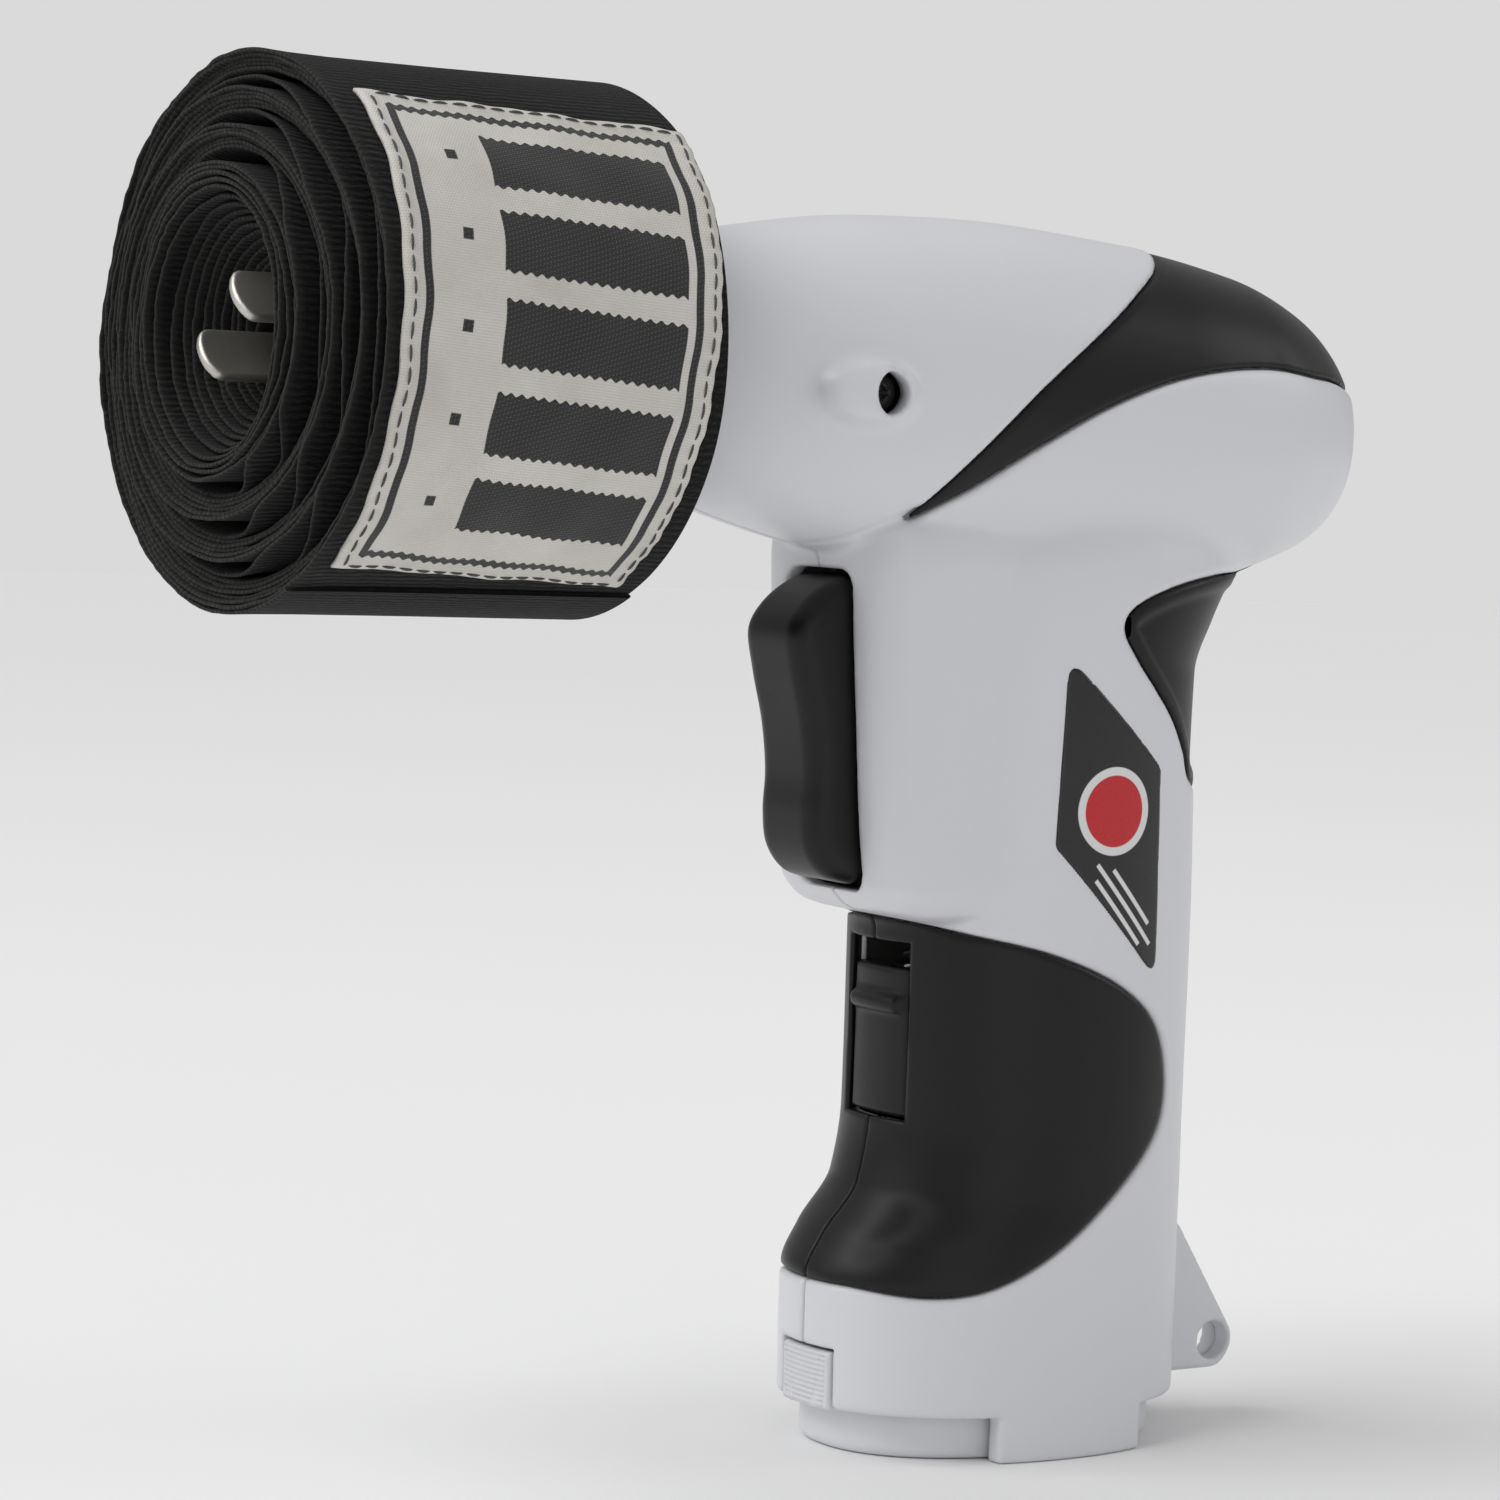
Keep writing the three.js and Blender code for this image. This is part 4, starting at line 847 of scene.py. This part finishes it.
def make_cap():
    def field(x, y, z):
        outer = form(x, y, z)
        limit = FOOT["inner"] - GAP
        plug = box_field(x, y, z, (-limit, None, 0), (limit, None, 7.3))
        plug = smooth_max(outer + 3.2, plug, 1.6)
        pad = box_field(x, y, z, (-TONGUE["half"], None, TONGUE["bottom"]),
                        (TONGUE["half"], -20, TONGUE["top"]))
        pitch = (TONGUE["top"] - TONGUE["bottom"] - 1) / TONGUE["ribs"]
        wave = 0.2 * np.cos((z - TONGUE["bottom"] - 1) * 2 * math.pi / pitch)
        ribbed = np.where(np.abs(x) < TONGUE["half"] - 0.6, wave, -0.1)
        tongue = smooth_max(smooth_max(outer + 0.1 + ribbed, -outer - 2.2, 0.3), pad, 0.5)
        arm = box_field(x, y, z, (-TONGUE["half"], -28.6, TONGUE["bottom"]), (TONGUE["half"], -20, 7.3))
        return np.minimum(np.minimum(plug, tongue), np.maximum(arm, outer + 1))
    cap = mesh_of("cap", field, (-18, -32, -1.2), (18, 28, 15), 0.34)
    finish_piece(cap, "battery_pack", "white_shell", "battery_cap")


# ------------------------------------------------------------------ fork and screws
def make_fork():
    c, s = math.cos(math.radians(FORK["tilt"])), math.sin(math.radians(FORK["tilt"]))
    outer_half = (FORK["pitch"] + FORK["thick"]) / 2

    def field(x, y, z):
        across = np.abs(x * c + (z - AXIS_Z) * s)
        wide = np.abs(-x * s + (z - AXIS_Z) * c)
        outer = smooth_max(across - outer_half, y - FORK["base"], 4.0)
        inner = smooth_max(across - outer_half + FORK["thick"], y - FORK["base"] + FORK["thick"], 2.6)
        strip = smooth_max(outer, -inner, 0.3)
        tip = np.hypot(wide, y - FORK["tip"] - FORK["tip_r"]) - FORK["tip_r"]
        tip = np.where(y > FORK["tip"] + FORK["tip_r"], -FORK["tip_r"], tip)
        edge = smooth_max(wide - FORK["width"] / 2, tip, 0.8)
        return smooth_max(strip, edge, 0.35)
    reach = 9.0
    fork = mesh_of("fork", field, (-reach, -123, AXIS_Z - reach), (reach, -68, AXIS_Z + reach), 0.35)
    finish_piece(fork, "spindle", "steel", "wrap_fork")


def make_screws():
    """Pan-head cross-recess screws, each seated in its well."""
    eye = (EYE["y"], EYE["z"])
    places = [("eye_screw_left", 1, EYE["seat"], eye), ("eye_screw_right", -1, EYE["seat"], eye)]
    places += [(f"case_screw_{i + 1}", -1, seat_depth(at[0]), at) for i, at in enumerate(CASE_SCREWS)]
    wide, long = SCREW["slot"], SCREW["slot_reach"]

    def field(u, v, w):
        reach = np.hypot(v, w)
        dome = np.hypot(reach, u + SCREW["dome"]) - SCREW["head_h"] - SCREW["dome"]
        f = smooth_max(smooth_max(dome, reach - SCREW["head_r"], 0.5), -u + GAP / 2, 0.2)
        shank = np.maximum(reach - SCREW["shank_r"], np.maximum(u - 0.5, -u - SCREW["shank"]))
        f = np.minimum(f, shank)
        v, w = np.abs(v), np.abs(w)
        cross = np.minimum(np.maximum(v - wide, w - long), np.maximum(w - wide, v - long))
        cone = reach * 0.9 + (0.7 - u)
        return carve(f, np.maximum(cross, cone), 0.15)
    for name, side, seat, (y, z) in places:
        screw = mesh_of(name + "_head", field, (-6.4, -2.7, -2.7), (2.2, 2.7, 2.7), 0.18)
        points = np.array([v.co for v in screw.data.vertices])
        points = points * (side, 1, side) + np.array((side * seat, y, z)) * MM
        screw.data.vertices.foreach_set("co", points.astype(np.float32).ravel())
        finish_piece(screw, "housing", "screw_black", name)


# ------------------------------------------------------------------ wound wrap
FRONT_PROFILE = eased([  # radius, front edge of the cloth
    (5, -111.0), (8, -112.4), (11, -115.4), (14, -119.0), (16.4, -122.4), (18.2, -123.4), (20, -123.0),
    (23, -122.2), (27, -121.0), (31, -119.8), (34, -119.0),
])


def drift(count, span, seed):
    """Smooth random values in -1..1, one new value every `span` samples."""
    rng = np.random.default_rng(seed)
    knots = rng.uniform(-1, 1, int(count / span) + 4)
    t = np.arange(count) / span
    i = t.astype(int)
    u = t - i
    u = u * u * (3 - 2 * u)
    return knots[i] * (1 - u) + knots[i + 1] * u


def winding():
    """The cloth's middle line in the plane across the spindle: places, lengths, angles, radii."""
    step = 0.5
    tilt = math.radians(FORK["tilt"])
    start = math.pi / 2 + tilt
    pitch = (WRAP["r"] - WRAP["cloth"] / 2 - WRAP["bore"]) / WRAP["turns"]
    phi = [0.35]
    while phi[-1] < 2 * math.pi * WRAP["turns"]:
        r = WRAP["bore"] + pitch * phi[-1] / (2 * math.pi)
        phi.append(phi[-1] + step / r)
    phi = np.array(phi)
    r = WRAP["bore"] + WRAP["cloth"] / 2 + pitch * phi / (2 * math.pi) - 2.2 * np.exp(-phi / 0.5)
    angle = start + phi
    strand = np.linspace(-5.2, 3.6, 14)
    xs = np.concatenate([strand * math.cos(start), r * np.cos(angle)])
    zs = np.concatenate([strand * math.sin(start), r * np.sin(angle)])
    line = np.stack([xs, zs], axis=1)
    for _ in range(2):
        line[8:30] = (line[7:29] + 2 * line[8:30] + line[9:31]) / 4
    length = np.concatenate([[0], np.cumsum(np.linalg.norm(np.diff(line, axis=0), axis=1))])
    tangent = np.gradient(line, axis=0)
    tangent /= np.linalg.norm(tangent, axis=1)[:, None]
    normal = np.stack([tangent[:, 1], -tangent[:, 0]], axis=1)
    return line, length, normal, np.hypot(line[:, 0], line[:, 1]), np.arctan2(line[:, 1], line[:, 0])


def bundle(radius, angle):
    """How far through its bundle a layer is: 1 for the bundle's outermost, 0 for its innermost."""
    rise = BUNDLE["rise"]
    under = np.maximum(WRAP["r"] - radius, 0)
    wander = 0.16 * np.sin(angle + 0.6) + 0.12 * np.sin(2 * angle + 2.0)
    place = under / BUNDLE["thick"] + wander * np.clip(under / 5, 0, 1) + rise
    inner = place - np.floor(place)
    u = np.clip(inner / rise, 0, 1)
    return 1 - np.where(inner < rise, 1 - (1 - rise) * u * u * (3 - 2 * u), inner)


def slump(radius, angle):
    """How far a layer sags and bulges off its true circle."""
    loose = np.clip((radius - 14) / 19, 0, 1)
    return loose * (0.5 - 0.7 * np.sin(angle) + 0.35 * np.sin(2 * angle + 0.4)
                    + 0.22 * np.sin(3 * angle + 1.9))


def make_wrap():
    line, length, normal, radius, angle = winding()
    line = line + normal * slump(radius, angle)[:, None]
    count = len(line)
    part = bundle(radius, angle)
    settle = np.clip((radius - 15) / 3, 0, 1)
    squeeze = BUNDLE["squeeze"] * BUNDLE["thick"] * (1 - part) * settle
    front = lookup(FRONT_PROFILE, radius + (1 - part) * BUNDLE["thick"] * settle)[0]
    front = (front + BUNDLE["recede"] * (1 - part) * settle + 0.35 * drift(count, 26, 3)
             + 0.1 * drift(count, 2, 5))
    front = front + BUNDLE["lean"] * np.cos(angle) * np.clip((radius - 14) / 10, 0, 1)
    back = WRAP["back"] - 0.5 + 0.5 * drift(count, 40, 7)
    half = WRAP["cloth"] / 2
    sway = 0.1 * drift(count, 6, 11)
    loop = []
    for depth in CLOTH_STATIONS:
        fade = math.exp(-depth / 5)
        loop.append((front + depth, half * (0.45 if depth == 0 else 1), fade))
    loop.append((back - 0.22, half, 0.15))
    loop.append((back, half * 0.45, 0.15))
    rings = []
    for y, thick, fade in loop + loop[::-1]:
        sign = 1 if len(rings) < len(loop) else -1
        out = squeeze * fade + sign * thick + sway * fade
        xz = line + normal * out[:, None]
        rings.append(np.stack([xz[:, 0], y, xz[:, 1] + AXIS_Z], axis=1))
    sides = len(rings)
    points = np.stack(rings, axis=1).reshape(-1, 3)
    i = np.arange(count - 1)[:, None] * sides
    j = np.arange(sides)[None]
    k = (j + 1) % sides
    faces = np.stack([i + j, i + k, i + sides + k, i + sides + j], axis=2).reshape(-1, 4)
    start_cap = [[j, j + 1, sides - 2 - j, sides - 1 - j] for j in range(sides // 2 - 1)]
    end = (count - 1) * sides
    end_cap = [[end + b for b in reversed(q)] for q in start_cap]
    cloth = new_object("wrap_cloth", points, np.vstack([faces, start_cap, end_cap]))
    across = np.stack([r[:, 1] for r in rings], axis=1)
    edge = np.exp(-(across - front[:, None]) / 0.5)
    flat = np.stack([np.repeat(length, sides), across.ravel(), edge.ravel()], axis=1)
    millimetre_map(cloth, flat)
    finish_piece(cloth, "wrap", "wrap_cloth", "hand_wrap")


def outer_radius(angle):
    """The outermost layer's middle radius at an angle."""
    pitch = (WRAP["r"] - WRAP["cloth"] / 2 - WRAP["bore"]) / WRAP["turns"]
    start = math.pi / 2 + math.radians(FORK["tilt"])
    total = 2 * math.pi * WRAP["turns"]
    last = (start + total - angle) % (2 * math.pi)
    return WRAP["bore"] + WRAP["cloth"] / 2 + pitch * (total - last) / (2 * math.pi)


def patch_point(u, v, lift):
    """A place on the patch, u from its front edge and v down from its top edge, lifted outward."""
    width, length = PATCH_FLAT
    radius = WRAP["r"] + WRAP["cloth"] / 2
    angle = (length / 2 - v - PATCH["drop"] - PATCH["skew"] * u / width) / radius
    angle = angle + math.radians(PATCH["turned"])
    ripple = 0.10 * np.sin(u * 0.55 + v * 0.21) + 0.08 * np.sin(v * 0.5 - u * 0.3 + 1.0)
    wander = 0.35 * np.sin(v * 0.11 + 0.5) + 0.12 * np.sin(v * 0.7)
    r = outer_radius(angle) + slump(radius, angle) + WRAP["cloth"] / 2 + PATCH["lift"] + ripple + lift
    y = (PATCH["front"] + wander + u + PATCH["shift"] - PATCH["lean"] * v / length
         - PATCH["narrow"] * u / width * (v / length) ** 2)
    return np.stack([r * np.cos(angle), y, AXIS_Z + r * np.sin(angle)], axis=-1)


def make_patch():
    width, length = PATCH_FLAT
    nu, nv = 62, 92
    u, v = np.meshgrid(np.linspace(0, width, nu), np.linspace(0, length, nv), indexing="ij")
    inset = np.minimum(np.minimum(u, width - u), np.minimum(v, length - v))
    hem = 0.16 * np.clip(1 - np.abs(inset - 1.0) / 1.6, 0, 1) + 0.12 * (inset < 2.0)
    pucker = 0.12 * np.sin(v * 2.1 + 0.7 * np.sin(u)) * np.exp(-inset / 1.5)
    top = patch_point(u, v, PATCH["thick"] + hem + pucker - 0.15 * (inset < 0.05))
    low = patch_point(u, v, 0.0)
    points = np.concatenate([top.reshape(-1, 3), low.reshape(-1, 3)])
    idx = np.arange(nu * nv).reshape(nu, nv)
    a, b, c, d = idx[:-1, :-1].ravel(), idx[1:, :-1].ravel(), idx[1:, 1:].ravel(), idx[:-1, 1:].ravel()
    faces = [np.stack([a, d, c, b], axis=1), np.stack([a, b, c, d], axis=1) + nu * nv]
    rim = np.concatenate([idx[:-1, 0], idx[-1, :-1], idx[:0:-1, -1], idx[0, :0:-1]])
    after = np.roll(rim, -1)
    faces.append(np.stack([rim, after, after + nu * nv, rim + nu * nv], axis=1))
    patch = new_object("woven_patch", points, np.vstack(faces))
    flat = np.stack([u.ravel(), v.ravel()], axis=1)
    millimetre_map(patch, np.vstack([flat, flat]))
    finish_piece(patch, "wrap", "woven_label", "wrap_patch")
    stitches = make_stitches()


def make_stitches():
    """Thread stitches in a row all round the patch, a little in from its edge."""
    width, length = PATCH_FLAT
    inset, stride = STITCH["inset"], STITCH["stride"]
    sides, rings = STITCH["sides"], STITCH["rings"]
    corners = np.array([(inset, inset), (inset, length - inset), (width - inset, length - inset),
                        (width - inset, inset)])
    height = PATCH["thick"] + STITCH["lift"]
    points, faces = [], []
    for start, end in zip(corners, np.roll(corners, -1, axis=0)):
        run = np.linalg.norm(end - start)
        along = (end - start) / run
        for k in range(int(run / stride)):
            t = (k + 0.3) * stride + STITCH["length"] * np.linspace(0, 1, rings)
            centre = start + along * t[:, None]
            rise = 0.14 * np.sin(np.pi * np.linspace(0, 1, rings)) + 0.02
            path = patch_point(centre[:, 0], centre[:, 1], height + rise)
            beside = centre + np.array((-along[1], along[0])) * 0.2
            side = patch_point(beside[:, 0], beside[:, 1], height + rise) - path
            side /= np.linalg.norm(side, axis=1)[:, None]
            up = np.cross(np.gradient(path, axis=0), side)
            up /= np.linalg.norm(up, axis=1)[:, None]
            first = sum(len(p) for p in points)
            turn = 2 * np.pi * np.arange(sides) / sides
            for r in range(rings):
                radius = STITCH["r"] if 0 < r < rings - 1 else STITCH["end_r"]
                spoke = np.cos(turn)[:, None] * side[r] + np.sin(turn)[:, None] * up[r]
                points.append(path[r] + radius * spoke)
            for r in range(rings - 1):
                for q in range(sides):
                    a, b = first + r * sides + q, first + r * sides + (q + 1) % sides
                    faces.append((a, b, b + sides, a + sides))
            faces.append((first + 3, first + 2, first + 1, first))
            faces.append((first + 5, first + 4, first + 3, first))
            end_ring = first + (rings - 1) * sides
            faces.append((end_ring, end_ring + 1, end_ring + 2, end_ring + 3))
            faces.append((end_ring, end_ring + 3, end_ring + 4, end_ring + 5))
    thread = new_object("patch_stitches", np.vstack(points), faces)
    thread.data.materials.append(thread_material())
    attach(thread, "wrap")
    return thread


# ------------------------------------------------------------------ studio
def make_floor():
    size = 3.0
    points = np.array([(-size, -size, 0), (size, -size, 0), (size, size, 0), (-size, size, 0)]) / MM
    floor = new_object("studio_floor", points - np.array((0, 0, 0.02)), [(0, 1, 2, 3)])
    s = Shader("pale_floor")
    s.set(Base_Color=s.blend(s.noise(3), grey(0.91), grey(0.93)), Roughness=0.7)
    floor.data.materials.append(s.material)


def area_light(name, place, size, power):
    light = bpy.data.lights.new(name, "AREA")
    light.shape = "RECTANGLE"
    light.size, light.size_y = size
    light.energy = power
    obj = bpy.data.objects.new(name, light)
    obj.location = place
    obj.rotation_euler = (AIM - Vector(place)).to_track_quat("-Z", "Y").to_euler()
    bpy.context.scene.collection.objects.link(obj)


def make_lights():
    """A broad, even key that lights the floor without falloff, and softboxes that shape the gloss."""
    sun = bpy.data.lights.new("even_key", "SUN")
    sun.energy = SUN["power"]
    sun.angle = math.radians(SUN["spread"])
    obj = bpy.data.objects.new("even_key", sun)
    obj.rotation_euler = (-Vector(SUN["from"])).to_track_quat("-Z", "Y").to_euler()
    bpy.context.scene.collection.objects.link(obj)
    for lamp in LAMPS:
        area_light(*lamp)
    world = bpy.data.worlds.new("studio")
    world.use_nodes = True
    tree = world.node_tree
    background = tree.nodes["Background"]
    background.inputs[0].default_value = (1, 1, 1, 1)
    seen = tree.nodes.new("ShaderNodeLightPath")
    level = tree.nodes.new("ShaderNodeMapRange")
    level.inputs["To Min"].default_value = WORLD["light"]
    level.inputs["To Max"].default_value = WORLD["seen"]
    tree.links.new(seen.outputs["Is Camera Ray"], level.inputs["Value"])
    tree.links.new(level.outputs[0], background.inputs[1])
    bpy.context.scene.world = world
    bpy.context.scene.view_settings.view_transform = "Standard"


def make_camera():
    a, e, r = (math.radians(CAMERA[k]) for k in ("azimuth", "elevation", "roll"))
    back = Vector((math.sin(a) * math.cos(e), -math.cos(a) * math.cos(e), math.sin(e)))
    right = Vector((math.cos(a), math.sin(a), 0))
    up = back.cross(right)
    image_right = right * math.cos(r) + up * math.sin(r)
    image_up = -right * math.sin(r) + up * math.cos(r)
    camera = bpy.data.objects.new("camera", bpy.data.cameras.new("camera"))
    camera.data.lens = CAMERA["lens"]
    camera.data.sensor_width = 36
    camera.data.clip_start = 0.01
    turn = Matrix((image_right, image_up, back)).transposed()
    camera.matrix_world = Matrix.Translation(AIM + back * CAMERA["distance"]) @ turn.to_4x4()
    bpy.context.scene.collection.objects.link(camera)
    bpy.context.scene.camera = camera


# ------------------------------------------------------------------ build
make_camera()
make_floor()
make_lights()
paint_frame()
make_shells()
make_inlays()
make_label_film()
make_trigger()
make_latch()
make_cap()
make_fork()
make_screws()
make_wrap()
make_patch()
